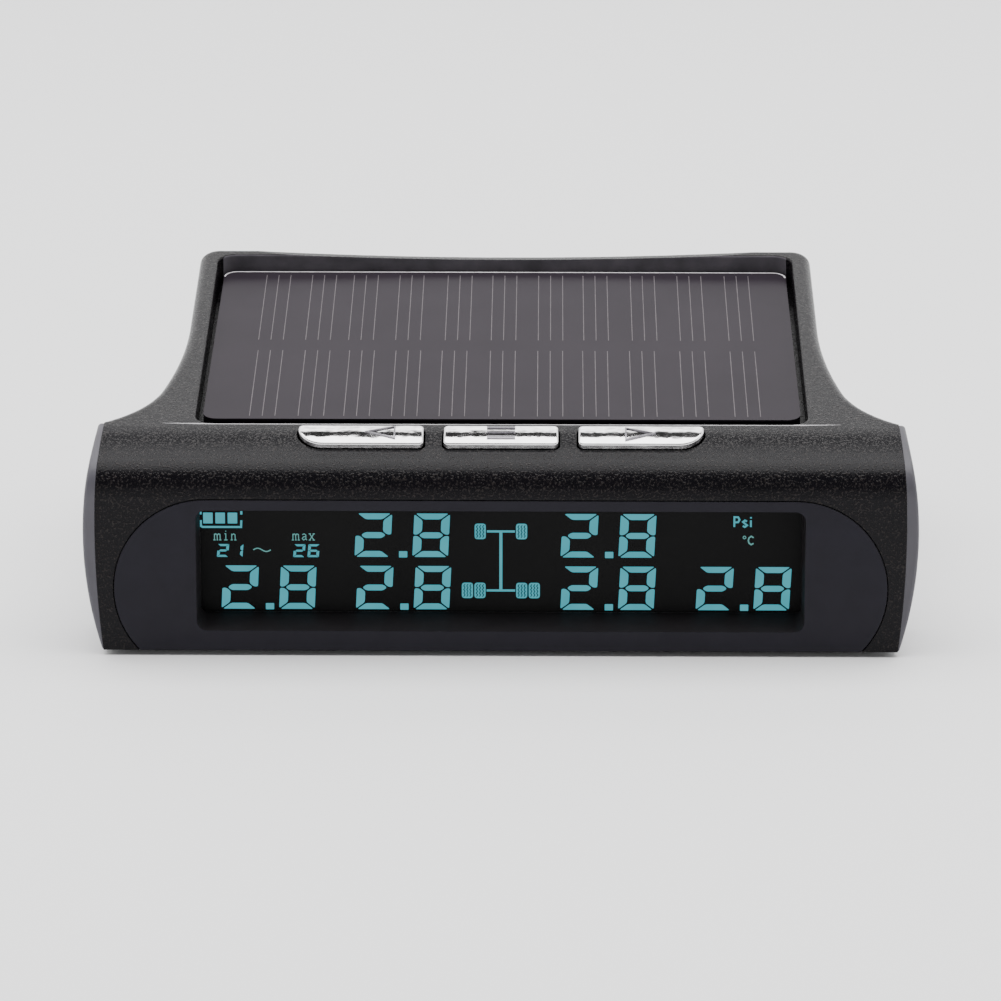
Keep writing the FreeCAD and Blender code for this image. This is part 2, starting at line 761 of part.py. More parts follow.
def make_end_cap(side, name):
    """A domed plate with the bar's own side outline, located by two pegs."""
    def on_rim(p, e):
        outer = abs(p.x) > value("bar_half - cap_thick + 0.1")
        return outer and abs(e.tangentAt(e.FirstParameter).x) < 0.6
    body = new_body(name)
    start = BAR_REAR
    sketch = new_sketch(body, name + "_outline", "YZ_Plane", [[
        ("0", "0"), (start, "0"), (start, TOP_LINE.format(start))] + DECK_FRONT],
        f"{side} * (bar_half - cap_thick)")
    add_feature(body, "Pad", name + "_pad", sketch, "2 * cap_thick", backwards=side < 0)
    round_edges(body, name + "_shoulder", "shoulder_radius",
                lambda p, e: near(p.y, SHOULDER_REACH) and near(p.z, SHOULDER_HEIGHT))
    round_edges(body, name + "_rear", "cap_round",
                lambda p, e: near(p.y, start) and near(p.z, TOP_LINE.format(start)))
    waste = new_sketch(body, name + "_crown", "XZ_Plane", [
        crown_outline(side, "cap_crown", "(bar_half + cap_thick)")], "1")
    add_feature(body, "Pocket", name + "_crown_cut", waste, "depth", backwards=False)
    round_edges(body, name + "_edge", "cap_edge_round", on_rim)
    place(body, "shell")
    core = new_body(name + "_core")
    low, high = (crown_half("end_crown", "bar_half", height) for height in (CROWN_LOW, CROWN_HIGH))
    inside = f"{side} * (bar_half - 2 * cap_thick)"
    outline = [(inside, CROWN_LOW), (f"{side} * {low}", CROWN_LOW, f"{side} * end_crown"),
               (f"{side} * {high}", CROWN_HIGH), (inside, CROWN_HIGH)]
    sketch = new_sketch(core, name + "_core_outline", "XZ_Plane", [outline], "1")
    add_feature(core, "Pad", name + "_core_pad", sketch, "depth", backwards=True)
    place(core, "shell")
    pegs = [cut(name + "_plate", body, [core])]
    for spot in ("low", "high"):
        peg = doc.addObject("Part::Cylinder", f"{name}_{spot}_peg")
        bind(peg, "Radius", "peg_radius")
        bind(peg, "Height", "peg_length + peg_root")
        peg.Placement = FreeCAD.Placement(FreeCAD.Vector(), sideways(side))
        bind(peg, "Placement.Base.x", f"{side} * (bar_half - peg_length)")
        bind(peg, "Placement.Base.y", "peg_reach - depth / 2")
        bind(peg, "Placement.Base.z", f"peg_{spot} + foot")
        pegs.append(peg)
    keep(fuse(name + "_solid", pegs), name)


def make_front_bezel():
    """A smooth panel flush with the front face, with a deep window down to the display."""
    plate = prism("bezel_plate", "face", [bezel_outline("0")], "-bezel_thick", "0")
    tunnel = prism("bezel_tunnel", "face", [
        rectangle("-tunnel_half", "tunnel_half", "tunnel_low", "tunnel_high")], "-window_deep", "-0.5")
    window = new_body("window")
    mouth = new_sketch(window, "window_mouth", "XY_Plane", [
        rounded("-window_half", "window_half", "window_low", "window_high", "window_corner")], "0")
    low = "(window_low + window_sill_draft)"
    high = "(window_high - window_draft / 2)"
    half = "(window_half - window_draft)"
    floor = new_sketch(window, "window_floor", "XY_Plane", [
        rounded(minus(half), half, low, high, "window_corner * 0.6")], "-window_deep")
    loft = window.newObject("PartDesign::AdditiveLoft", "window_loft")
    loft.Profile = mouth
    loft.Sections = [floor]
    loft.Ruled = True
    doc.recompute()
    place(window, "face")
    mouth_tool = prism("window_mouth_tool", "face", [
        rounded("-window_half", "window_half", "window_low", "window_high", "window_corner")], "0", "1")
    floor_tool = prism("window_floor_tool", "face", [
        rounded(minus(half), half, low, high, "window_corner * 0.6")], "-window_deep - 1", "-window_deep")
    keep(cut("bezel_solid", fuse("bezel_blank", [plate, tunnel]), [window, mouth_tool, floor_tool]),
         "front_bezel")


def make_base():
    waist = "(waist_half - wall - play)"
    side_half = "(bar_half - wall - play)"
    front = "(front_wall + play)"
    rear = "(depth - wall - play - 0.1)"
    corner = 2
    down = flare_line(-1, "(wall + play)")
    up = backwards(flare_line(1, "(wall + play)"))
    outline = [(minus(side_half), front), (side_half, front)] + up + [
        (waist, f"{rear} - {corner}", corner), (f"{waist} - {corner}", rear),
        (f"-({waist} - {corner})", rear, corner), (minus(waist), f"{rear} - {corner}")] + down
    plate = prism("base_blank", "shell", [outline], "0", "base_thick")
    standoffs = [plate]
    holes = []
    for index, (x, y) in enumerate(standoff_spots()):
        standoffs.append(drum(f"standoff_{index}", "shell", x, y, ("base_thick - 0.5", "main_low"),
                              "standoff_radius"))
        holes.append(drum(f"standoff_hole_{index}", "shell", x, y, ("main_low - 5", "main_low + 1"),
                          "screw_radius"))
    for index, (x, y) in enumerate(base_boss_spots()):
        holes.append(drum(f"base_hole_{index}", "shell", x, y, ("-1", "base_thick + 1"),
                          "screw_radius + play"))
        holes.append(drum(f"base_counterbore_{index}", "shell", x, y, ("-1", "screw_head_thick + 0.1"),
                          "screw_head_radius + play"))
    for row in (-1, 0, 1):
        for column in (-1, 0, 1):
            holes.append(drum(f"sound_hole_{row}_{column}", "shell",
                              f"buzzer_side + {column} * sound_pitch", f"buzzer_reach + {row} * sound_pitch",
                              ("-1", "base_thick + 1"), "sound_radius"))
    keep(cut("base_solid", fuse("base_with_standoffs", standoffs), holes), "base_plate")
    outline = rounded("-pad_half", "pad_half", "pad_front", "pad_rear", "pad_corner")
    pad = prism("pad_blank", "shell", [outline], "-foot", "0")
    mouth = drum("pad_sound_hole", "shell", "buzzer_side", "buzzer_reach", ("-foot - 1", "1"),
                 "buzzer_radius")
    keep(cut("pad_solid", pad, [mouth]), "anti_slip_pad")


def standoff_spots():
    for side in (-1, 1):
        for y in ("standoff_front", "standoff_rear"):
            yield f"{side} * standoff_side", y


def screws(name, frame, spots, seat, away, shank):
    """Cross-head screws bearing at a level; their heads point along +Z or -Z of the frame."""
    parts = []
    for index, (x, y) in enumerate(spots):
        if away > 0:
            head = (seat, f"{seat} + screw_head_thick")
            stem = (f"{seat} - ({shank})", seat)
            recess = (f"{seat} + screw_head_thick - 0.4", f"{seat} + screw_head_thick + 0.1")
        else:
            head = (f"{seat} - screw_head_thick", seat)
            stem = (seat, f"{seat} + {shank}")
            recess = (f"{seat} - screw_head_thick - 0.1", f"{seat} - screw_head_thick + 0.4")
        long_arm = "screw_head_radius * 0.65"
        blank = fuse(f"{name}_blank_{index}", [
            drum(f"{name}_head_{index}", frame, x, y, head, "screw_head_radius"),
            drum(f"{name}_stem_{index}", frame, x, y, stem, "screw_radius - 0.05")])
        cross = [
            block(f"{name}_slot_{index}", frame, around(x, long_arm), around(y, "0.2"), recess),
            block(f"{name}_bar_{index}", frame, around(x, "0.2"), around(y, long_arm), recess)]
        parts.append(cut(f"{name}_screw_{index}", blank, cross))
    group(name, parts)


# ---------------------------------------------------------------- display stack

def ring(name, frame, outer, inner, low, high):
    """A frame between two outlines."""
    keep(prism(name, frame, [outer, inner], low, high), name)


def make_display():
    window = ("-(window_half - window_draft)", "window_half - window_draft",
              "window_low + window_sill_draft", "window_high - window_draft / 2")
    glass = ("-glass_half", "glass_half", "glass_low", "glass_high")
    ring("lcd_gasket", "face", rectangle(*glass), rectangle(*window), "-gasket_deep", "-window_deep")
    keep(block("lcd_front_glass", "face", glass[:2], glass[2:], ("-front_glass_deep", "-gasket_deep")),
         "lcd_front_glass")
    keep(block("lcd_rear_glass", "face", glass[:2], glass[2:], ("-rear_glass_deep", "-front_glass_deep")),
         "lcd_rear_glass")
    guide_x = ("-guide_half", "guide_half")
    guide_y = ("guide_low", "glass_high")
    keep(block("backlight_diffuser", "face", guide_x, guide_y, ("-diffuser_deep", "-rear_glass_deep")),
         "backlight_diffuser")
    keep(block("backlight_guide", "face", guide_x, guide_y, ("-guide_deep", "-diffuser_deep")),
         "backlight_guide")
    keep(block("backlight_reflector", "face", guide_x, guide_y, ("-reflector_deep", "-guide_deep")),
         "backlight_reflector")
    leds = [block(f"led_{step}", "face", ("guide_half + 0.1", "guide_half + 1.2"),
                  around(f"led_middle + {step} * led_pitch", "led_half"), ("-guide_deep", "-diffuser_deep"))
            for step in (-1, 0, 1)]
    group("backlight_leds", leds)
    strip = (("-strip_half", "strip_half"), ("strip_low", "strip_high"))
    keep(block("contact_strip", "face", *strip, ("-frame_deep", "-rear_glass_deep")), "contact_strip")
    shell = block("lcd_frame_blank", "face", ("-lcd_frame_half", "lcd_frame_half"),
                  ("lcd_frame_low", "lcd_frame_high"), ("-frame_deep", "-gasket_deep"))
    seat = block("lcd_frame_seat", "face", ("-(glass_half + 0.1)", "glass_half + 0.1"),
                 ("glass_low - 0.1", "glass_high + 0.1"), ("-rear_glass_deep", "-gasket_deep + 1"))
    well = block("lcd_frame_well", "face", ("-(guide_half + 0.1)", "guide_half + 1.3"),
                 ("guide_low - 0.1", "glass_high + 0.1"), ("-reflector_deep", "-rear_glass_deep + 0.1"))
    way = block("lcd_frame_way", "face", ("-(strip_half + 0.1)", "strip_half + 0.1"),
                ("strip_low - 0.1", "strip_high + 0.1"), ("-frame_deep - 1", "-rear_glass_deep + 0.1"))
    keep(cut("lcd_frame_solid", shell, [seat, well, way]), "lcd_frame")
    board = block("display_board_blank", "face", ("-display_board_half", "display_board_half"),
                  ("lcd_frame_low", "display_board_high"), ("-display_board_deep", "-frame_deep"))
    holes = [drum(f"display_board_hole_{index}", "face", x, y, ("-display_board_deep - 1", "-frame_deep + 1"),
                  "screw_radius + play") for index, (x, y) in enumerate(board_boss_spots())]
    keep(cut("display_board_solid", board, holes), "display_board")
    screws("display_board_screws", "face", board_boss_spots(), "-display_board_deep", -1, "4.5")
    chip_back = ("-display_board_deep - 1.1", "-display_board_deep")
    keep(block("display_driver_chip", "face", around("-12", "5"), around("11", "3.5"), chip_back),
         "display_driver_chip")
    keep(block("ribbon_plug", "face", around("0", "ribbon_half + 1"), around("5", "1.6"),
               ("-display_board_deep - 2", "-display_board_deep")), "ribbon_plug")


# ---------------------------------------------------------------- keys

def make_key(name, side):
    """A plated key with a crowned top, a flange that holds it in its slot, and a post."""
    cap = prism(f"{name}_cap", "top", [key_outline(side)], "-key_flange_top", "key_proud")
    drop = "(key_crown - sqrt(key_crown^2 - (key_crown_reach - key_front + 1)^2))"
    crown = new_sketch(cap, f"{name}_crown", "YZ_Plane", [[
        ("key_front - 1", f"key_proud - {drop}", "-key_crown"), ("key_crown_reach", "key_proud"),
        ("key_crown_reach", "key_proud + 1"), ("key_front - 1", "key_proud + 1")]])
    add_feature(cap, "Pocket", f"{name}_crown_cut", crown, "2 * key_outer + 2", both_ways=True)
    round_edges(cap, f"{name}_edge", "key_edge",
                lambda p, e: p.z > 0 and not near(p.y, "key_crown_reach"))
    flange = prism(f"{name}_flange", "top",
                   [key_outline(side, "0.45", "key_flange_front", "key_flange_rear - 0.4", square=True)],
                   "-key_flange_low", "-key_flange_top")
    middle = key_middle_x(side)
    post = drum(f"{name}_post", "top", middle, "key_middle", ("-key_post_low", "-key_flange_low"),
                "key_post_radius")
    keep(fuse(f"{name}_solid", [cap, flange, post]), f"{name}_button")
    plunger = drum(f"{name}_plunger_rod", "top", middle, "key_middle", ("-plunger_low", "-key_post_low"),
                   "plunger_radius")
    keep(plunger, f"{name}_switch_plunger")
    body = block(f"{name}_switch_blank", "top", around(middle, "switch_half"),
                 around("key_middle", "switch_half"), ("-key_board_top", "-switch_top"))
    bore = drum(f"{name}_switch_bore", "top", middle, "key_middle", ("-switch_floor", "0"),
                "plunger_radius + 0.2")
    keep(cut(f"{name}_switch_solid", body, [bore]), f"{name}_key_switch")


def key_middle_x(side):
    return f"{side} * (key_inner + key_outer) / 2"


def make_keys():
    for name, side in KEYS.items():
        make_key(name, side)
    board = block("key_board_blank", "top", ("-key_board_half", "key_board_half"),
                  ("key_board_front", "key_board_rear"), ("-key_board_low", "-key_board_top"))
    spots = [(f"{side} * key_screw_side", "key_middle") for side in (-1, 1)]
    holes = [drum(f"key_board_hole_{index}", "top", x, y, ("-key_board_low - 1", "-key_board_top + 1"),
                  "key_screw_radius + play") for index, (x, y) in enumerate(spots)]
    keep(cut("key_board_solid", board, holes), "key_board")
    parts = []
    for index, (x, y) in enumerate(spots):
        head = drum(f"key_screw_head_{index}", "top", x, y, ("-key_board_low - 0.7", "-key_board_low"),
                    "2 * key_screw_radius")
        stem = drum(f"key_screw_stem_{index}", "top", x, y, ("-key_board_low", "-key_board_top + 2.4"),
                    "key_screw_radius")
        parts.append(fuse(f"key_screw_{index}", [head, stem]))
    group("key_board_screws", parts)
    keep(block("key_ribbon", "shell", around("0", "ribbon_half"),
               ("key_ribbon_reach", "key_ribbon_reach + ribbon_thick"),
               ("key_ribbon_low", "key_ribbon_high")), "key_ribbon")


# ---------------------------------------------------------------- solar deck

def make_solar_deck():
    panel = ("-panel_half", "panel_half", "panel_front", "panel_front + panel_length", "panel_corner")
    board_low = "foam_thick"
    board_top = "foam_thick + solar_board_thick"
    tape = ("-(panel_half - 6)", "panel_half - 6", "panel_front + 5",
            "lead_reach - lead_hole_radius - 2", "1")
    keep(prism("tape_pad", "tray", [rounded(*tape)], "0", board_low), "solar_foam_tape")
    keep(prism("board_pad", "tray", [rounded(*panel)], board_low, board_top), "solar_board")
    cells = []
    row_length = "((panel_length - 2 * cell_margin - cell_row_gap) / 2)"
    for row in (0, 1):
        start = f"panel_front + cell_margin + {row} * ({row_length} + cell_row_gap)"
        for column in range(-5, 6):
            middle = f"cell_shift + {column} * cell_pitch"
            cells.append(block(f"cell_{row}_{column + 5}", "tray",
                               around(middle, "(cell_pitch - cell_gap) / 2"),
                               (start, f"{start} + {row_length}"),
                               (board_top, f"{board_top} + cell_thick")))
    group("solar_cells", cells)
    keep(prism("film_pad", "tray", [rounded(*panel)], f"{board_top} + cell_thick", PANEL_TOP), "solar_film")


# ---------------------------------------------------------------- base electronics

def make_main_board():
    board = block("main_board_blank", "shell", ("-main_half", "main_half"), ("main_front", "main_rear"),
                  ("main_low", "main_top"))
    holes = [drum(f"main_hole_{index}", "shell", x, y, ("main_low - 1", "main_top + 1"),
                  "screw_radius + play") for index, (x, y) in enumerate(standoff_spots())]
    keep(cut("main_board_solid", board, holes), "main_board")
    screws("main_board_screws", "shell", standoff_spots(), "main_top", 1, "5")

    def on_board(name, x, y, height):
        keep(block(name, "shell", x, y, ("main_top", f"main_top + {height}")), name)
    on_board("controller_chip", around("2", "3.5"), around("52", "3.5"), "1.1")
    on_board("receiver_board", around("-24", "8"), around("52", "6"), "0.9")
    keep(block("receiver_can", "shell", around("-26", "5"), around("52", "4.6"),
               ("main_top + 0.9", "main_top + 3")), "receiver_can")
    on_board("crystal", around("-6", "1.4"), around("58", "2.6"), "1.5")
    on_board("battery_socket", around("24", "3"), around("40", "2.6"), "3")
    on_board("motion_sensor", around("12", "1.5"), around("44", "2.2"), "2.2")
    inner = "ribbon_end - ribbon_thick"
    upper = "ribbon_high + ribbon_thick"
    strip = [("ribbon_start", "ribbon_low"), ("ribbon_start + 6.3", "ribbon_low"),
             ("ribbon_start + 10.3", "ribbon_high"), ("ribbon_end", "ribbon_high"),
             ("ribbon_end", "main_low"), (inner, "main_low"), (inner, upper),
             ("ribbon_start + 10.1", upper), ("ribbon_start + 6.1", "ribbon_low + ribbon_thick"),
             ("ribbon_start", "ribbon_low + ribbon_thick")]
    keep(prism("board_ribbon_strip", "shell", [strip], "-ribbon_half", "ribbon_half", "YZ_Plane"),
         "board_ribbon")
    cans = [drum(f"capacitor_{step}", "shell", f"capacitor_side + {step} * capacitor_pitch",
                 "capacitor_reach", ("main_top", "main_top + capacitor_tall"), "capacitor_radius")
            for step in (0, 1)]
    group("capacitors", cans)
    can = ("base_thick", "base_thick + buzzer_tall")
    buzzer = drum("buzzer_can", "shell", "buzzer_side", "buzzer_reach", can, "buzzer_radius")
    mouth = drum("buzzer_bore", "shell", "buzzer_side", "buzzer_reach",
                 ("base_thick - 1", "base_thick + 0.8"), "buzzer_mouth")
    keep(cut("buzzer_solid", buzzer, [mouth]), "buzzer")


def make_antenna():
    """A helical spring antenna lying along the receiver board's edge."""
    coil = doc.addObject("Part::Helix", "antenna_path")
    coil.Pitch = 1.4
    coil.Height = 11.2
    coil.Radius = 1.9
    coil.SegmentLength = 1
    doc.recompute()
    start = coil.Shape.Wires[0].Edges[0]
    first = start.valueAt(start.FirstParameter)
    heading = start.tangentAt(start.FirstParameter)
    section = Part.Wire(Part.makeCircle(0.3, first, heading))
    solid = Part.Wire(coil.Shape.Edges).makePipeShell([section], True, True)
    antenna = doc.addObject("Part::Feature", "antenna_wire")
    antenna.Shape = solid
    antenna.Placement = FreeCAD.Placement(shell_point("-20", "42.6", "main_top + 0.1 + 2.25"),
                                          FreeCAD.Rotation(FreeCAD.Vector(0, 1, 0), -90))
    keep(antenna, "antenna_coil")


def make_battery():
    tape = block("battery_tape", "shell", around("0", "20"), ("battery_front + 5", "battery_rear - 5"),
                 ("base_thick", "battery_low"))
    keep(tape, "battery_foam_tape")
    pouch = prism("battery_pouch", "shell", [rectangle("-battery_half", "battery_half", "battery_front",
                                                       "battery_rear")], "battery_low", "battery_top")
    round_edges(pouch, "battery_round", "battery_edge",
                lambda p, e: near(abs(p.x), "battery_half") and e.Length > 20)
    keep(pouch, "battery_pack")
    runs = (("battery_lead_red", "24.9", "19.5"), ("battery_lead_black", "23.4", "16.5"))
    for name, x, start in runs:
        points = [shell_point(start, "battery_front", "7"), shell_point(start, "21", "7"),
                  shell_point(f"({start} + {x}) / 2", "18.6", "10.9"), shell_point(x, "21", "14.8"),
                  shell_point(x, "35.4", "14.8")]
        wire(name, points, value("wire_radius"))
    keep(block("battery_plug", "shell", around("24.15", "2.2"), ("35.4", "37.4"),
               ("main_top + 0.3", "main_top + 2.7")), "battery_plug")


def make_usb_port():
    side = ("usb_side - usb_half", "usb_side + usb_half")
    tall = ("main_top", "main_top + usb_tall")
    shell = prism("usb_blank", "shell", [rounded(*side, *tall, "usb_corner")], minus("usb_rear"),
                  minus("usb_front"), "XZ_Plane")
    inner = rounded("usb_side - usb_half + usb_skin", "usb_side + usb_half - usb_skin",
                    "main_top + usb_skin", "main_top + usb_tall - usb_skin", "(usb_corner - usb_skin)")
    hollow = prism("usb_hollow", "shell", [inner], minus("usb_rear + 1"), minus("usb_front + 1"), "XZ_Plane")
    keep(cut("usb_solid", shell, [hollow]), "usb_port_shell")
    keep(block("usb_tongue", "shell", around("usb_side", "tongue_half"), ("usb_front + 1", "usb_rear - 1.4"),
               around("main_top + usb_tall / 2", "tongue_thick / 2")), "usb_port_tongue")


def make_power_switch():
    """A slide switch: the knob's stem runs in a channel and out through the rear wall."""
    middle = "main_top + slide_tall / 2"
    body = block("slide_blank", "shell", around("slide_side", "slide_half"), ("slide_front", "slide_rear"),
                 ("main_top", "main_top + slide_tall"))
    channel = block("slide_channel", "shell", around("slide_side", "knob_travel / 2 + knob_half + knob_gap"),
                    ("slide_front + 1.2", "slide_rear + 1"), around(middle, "knob_tall / 2 + 0.2"))
    keep(cut("slide_solid", body, [channel]), "power_switch_body")
    outer = f"depth - rear_lean * ({middle}) / {REAR_TOP} + knob_proud"
    rest = "slide_side - knob_travel / 2"
    outline = rectangle(f"{rest} - knob_half", f"{rest} + knob_half",
                        f"{middle} - knob_tall / 2", f"{middle} + knob_tall / 2")
    knob = prism("knob_blank", "shell", [outline], minus(outer), minus("slide_front + 1.5"), "XZ_Plane")
    round_edges(knob, "knob_round", "0.25", lambda p, e: near(p.y, outer))
    keep(knob, "power_switch_knob")


def make_solar_leads():
    """Two wires from the solar board down through the deck to the main board."""
    for name, side in (("solar_lead_red", 1), ("solar_lead_black", -1)):
        x = f"{side} * lead_spacing / 2"
        top = frame_point("tray", x, "lead_reach", "foam_thick")
        below = frame_point("tray", x, "lead_reach", "-4")
        end_x = f"{side} * lead_spacing / 2 + 4"
        low = shell_point(end_x, "lead_reach + 12", "main_top + 7")
        end = shell_point(end_x, "lead_reach + 12", "main_top")
        wire(name, [top, below, low, end], value("wire_radius"))


# ---------------------------------------------------------------- the whole model

make_upper_housing()
make_end_cap(-1, "left_end_cap")
make_end_cap(1, "right_end_cap")
make_front_bezel()
make_base()
screws("base_screws", "shell", base_boss_spots(), "screw_head_thick + 0.1", -1, "6.5")
make_display()
make_keys()
make_solar_deck()
make_main_board()
make_antenna()
make_battery()
make_usb_port()
make_power_switch()
make_solar_leads()
doc.recompute()

failed = [thing.Name for thing in doc.Objects if {"Invalid", "Error"} & set(thing.State)]
if failed:
    raise ValueError(f"these failed: {failed}")
names = [node.Label for node in nodes]
if len(names) != len(set(names)):
    raise ValueError("two nodes share a name")
for node in nodes:
    if node.Shape.isNull() or not node.Shape.isValid() or node.Shape.Volume <= 0:
        raise ValueError(f"{node.Label} has a bad shape")
os.makedirs("parts", exist_ok=True)
for node in nodes:
    node.Shape.exportStep(f"parts/{node.Label}.step")
print(len(nodes), "nodes")
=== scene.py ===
import math
import bpy
import bmesh
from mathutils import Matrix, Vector


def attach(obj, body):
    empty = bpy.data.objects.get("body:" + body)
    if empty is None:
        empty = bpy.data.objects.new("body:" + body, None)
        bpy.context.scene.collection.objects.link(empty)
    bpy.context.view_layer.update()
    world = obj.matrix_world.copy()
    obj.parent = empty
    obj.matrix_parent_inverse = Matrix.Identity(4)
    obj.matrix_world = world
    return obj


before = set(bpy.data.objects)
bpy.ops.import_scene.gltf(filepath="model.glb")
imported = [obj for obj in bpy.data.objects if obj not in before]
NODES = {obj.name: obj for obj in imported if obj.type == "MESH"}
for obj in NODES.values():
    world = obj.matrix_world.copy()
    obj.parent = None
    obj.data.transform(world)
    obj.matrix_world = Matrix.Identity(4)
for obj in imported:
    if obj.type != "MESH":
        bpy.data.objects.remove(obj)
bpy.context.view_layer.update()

# The display side faces -Y, +X is the viewer's right, +Z is up, all in metres.
MM = 0.001


# ------------------------------------------------------------------ materials

class Paint:
    """A procedural material: a Principled shader and the nodes that feed it."""

    def __init__(self, name, **sockets):
        self.material = bpy.data.materials.new(name)
        self.material.use_nodes = True
        self.tree = self.material.node_tree
        self.shader = self.tree.nodes["Principled BSDF"]
        self.place = self.add("ShaderNodeTexCoord").outputs["Object"]
        self.set(self.shader, sockets)
        self.height = None

    def add(self, kind, inputs=None, **props):
        node = self.tree.nodes.new(kind)
        for key, item in props.items():
            setattr(node, key, item)
        self.set(node, inputs or {})
        return node

    def set(self, node, inputs):
        for key, item in inputs.items():
            socket = node.inputs[key]
            if isinstance(item, bpy.types.NodeSocket):
                self.tree.links.new(item, socket)
            else:
                socket.default_value = item

    def noise(self, size, detail=2.0, rough=0.5):
        """A noise whose features are about size metres across."""
        node = self.add("ShaderNodeTexNoise", {"Vector": self.place, "Scale": 1.0 / size, "Detail": detail,
                                               "Roughness": rough})
        return node.outputs["Fac"]

    def cells(self, size):
        """Distances from scattered points that are about size metres apart."""
        node = self.add("ShaderNodeTexVoronoi", {"Vector": self.place, "Scale": 1.0 / size})
        return node.outputs["Distance"]

    def span(self, fac, low, high, start=0.0, end=1.0):
        """Remaps a factor between two numbers."""
        node = self.add("ShaderNodeMapRange", {"Value": fac, "From Min": start, "From Max": end,
                                               "To Min": low, "To Max": high})
        return node.outputs["Result"]

    def tint(self, fac, dark, light, start=0.3, end=0.7):
        """Colours the surface between two colours."""
        ramp = self.add("ShaderNodeValToRGB", {"Fac": fac})
        ramp.color_ramp.elements[0].position = start
        ramp.color_ramp.elements[0].color = (*dark, 1.0)
        ramp.color_ramp.elements[1].position = end
        ramp.color_ramp.elements[1].color = (*light, 1.0)
        self.set(self.shader, {"Base Color": ramp.outputs["Color"]})
        return self

    def roughness(self, fac, low, high):
        self.set(self.shader, {"Roughness": self.span(fac, low, high, 0.3, 0.7)})
        return self

    def relief(self, fac, depth):
        """Adds a bump layer, depth metres deep."""
        inputs = {"Height": fac, "Distance": depth, "Strength": 1.0}
        if self.height:
            inputs["Normal"] = self.height
        self.height = self.add("ShaderNodeBump", inputs).outputs["Normal"]
        self.set(self.shader, {"Normal": self.height})
        return self

    def soften(self, radius):
        """Rounds sharp edges in the shading."""
        bevel = self.add("ShaderNodeBevel", {"Radius": radius}, samples=4)
        self.height = bevel.outputs["Normal"]
        self.set(self.shader, {"Normal": self.height})
        return self


def scaled(colour, factor):
    return tuple(min(c * factor, 1.0) for c in colour)


def grained_shell():
    """Spark-eroded plastic: fine pebbles that glint where the light rakes over them."""
    paint = Paint("grained_shell", **{"Specular IOR Level": 0.11})
    grain = paint.noise(0.30 * MM, 1.0, 0.5)
    paint.tint(grain, (0.0034, 0.0030, 0.0042), (0.0200, 0.0170, 0.0165), 0.52, 0.70)
    paint.roughness(grain, 0.30, 0.18)
    paint.soften(0.2 * MM)
    paint.relief(paint.span(grain, 0.0, 1.0, 0.52, 0.72), 0.035 * MM)
    paint.relief(paint.noise(1.6 * MM, 2.0), 0.015 * MM)
    return paint.material


def satin(name, colour, roughness, wear=0.3, gloss=0.3):
    """Smooth moulded plastic; wear is how much its colour varies."""
    paint = Paint(name, **{"Specular IOR Level": gloss})
    paint.tint(paint.noise(4 * MM, 4.0), scaled(colour, 1 - wear / 2), scaled(colour, 1 + wear / 2))
    paint.roughness(paint.noise(2.2 * MM, 3.0), roughness * 0.88, roughness * 1.12)
    paint.soften(0.2 * MM)
    paint.relief(paint.noise(0.12 * MM, 2.0), 0.002 * MM)
    return paint.material


def plated():
    """Chrome over plastic: a mirror with the slight waviness of a moulded skin."""
    paint = Paint("plated_key", Metallic=1.0)
    paint.tint(paint.noise(1.6 * MM, 3.0), (0.80, 0.78, 0.79), (0.92, 0.91, 0.92))
    paint.roughness(paint.noise(1.1 * MM, 4.0), 0.05, 0.13)
    paint.relief(paint.noise(2.6 * MM, 2.0), 0.08 * MM)
    paint.relief(paint.noise(0.7 * MM, 3.0), 0.006 * MM)
    return paint.material


def metal(name, colour, roughness):
    paint = Paint(name, Metallic=1.0)
    grain = paint.noise(0.3 * MM, 3.0, 0.6)
    paint.tint(grain, scaled(colour, 0.8), scaled(colour, 1.12))
    paint.roughness(grain, roughness * 0.75, roughness * 1.3)
    paint.relief(grain, 0.004 * MM)
    return paint.material


def rubber(name, colour, pore):
    """Rubber or foam with pores about pore metres apart."""
    paint = Paint(name)
    speck = paint.cells(pore)
    paint.tint(speck, scaled(colour, 0.7), scaled(colour, 1.3), 0.1, 0.6)
    paint.roughness(paint.noise(1 * MM), 0.72, 0.88)
    paint.relief(speck, pore * 0.2)
    return paint.material


def clear_film():
    """Dark resin over the cells: it hides their edges, and mirrors at a low angle."""
    paint = Paint("clear_film", **{"Specular IOR Level": 0.042})
    paint.tint(paint.noise(14 * MM, 3.0), (0.0198, 0.0158, 0.0207), (0.0230, 0.0186, 0.0240))
    paint.roughness(paint.noise(6 * MM, 2.0), 0.22, 0.27)
    paint.relief(paint.noise(16 * MM, 2.0), 0.04 * MM)
    return paint.material


def silicon():
    """Dark cells, with a slight grain."""
    paint = Paint("silicon_cell", **{"Specular IOR Level": 0.1})
    paint.tint(paint.noise(2.5 * MM, 4.0, 0.6), (0.0120, 0.0104, 0.0125), (0.0142, 0.0124, 0.0148))
    paint.roughness(paint.noise(1.5 * MM), 0.35, 0.45)
    paint.relief(paint.noise(0.2 * MM), 0.004 * MM)
    return paint.material


def pale_print_and_highlight(name, colour):
    """Pale printed lines on the solar panel, and pale strips that are painted highlights along edges on and
    around it.
    """
    paint = Paint(name, **{"Roughness": 0.45, "Specular IOR Level": 0.1})
    paint.tint(paint.noise(1.2 * MM, 3.0), scaled(colour, 0.85), scaled(colour, 1.2))
    paint.relief(paint.noise(0.3 * MM), 0.004 * MM)
    return paint.material


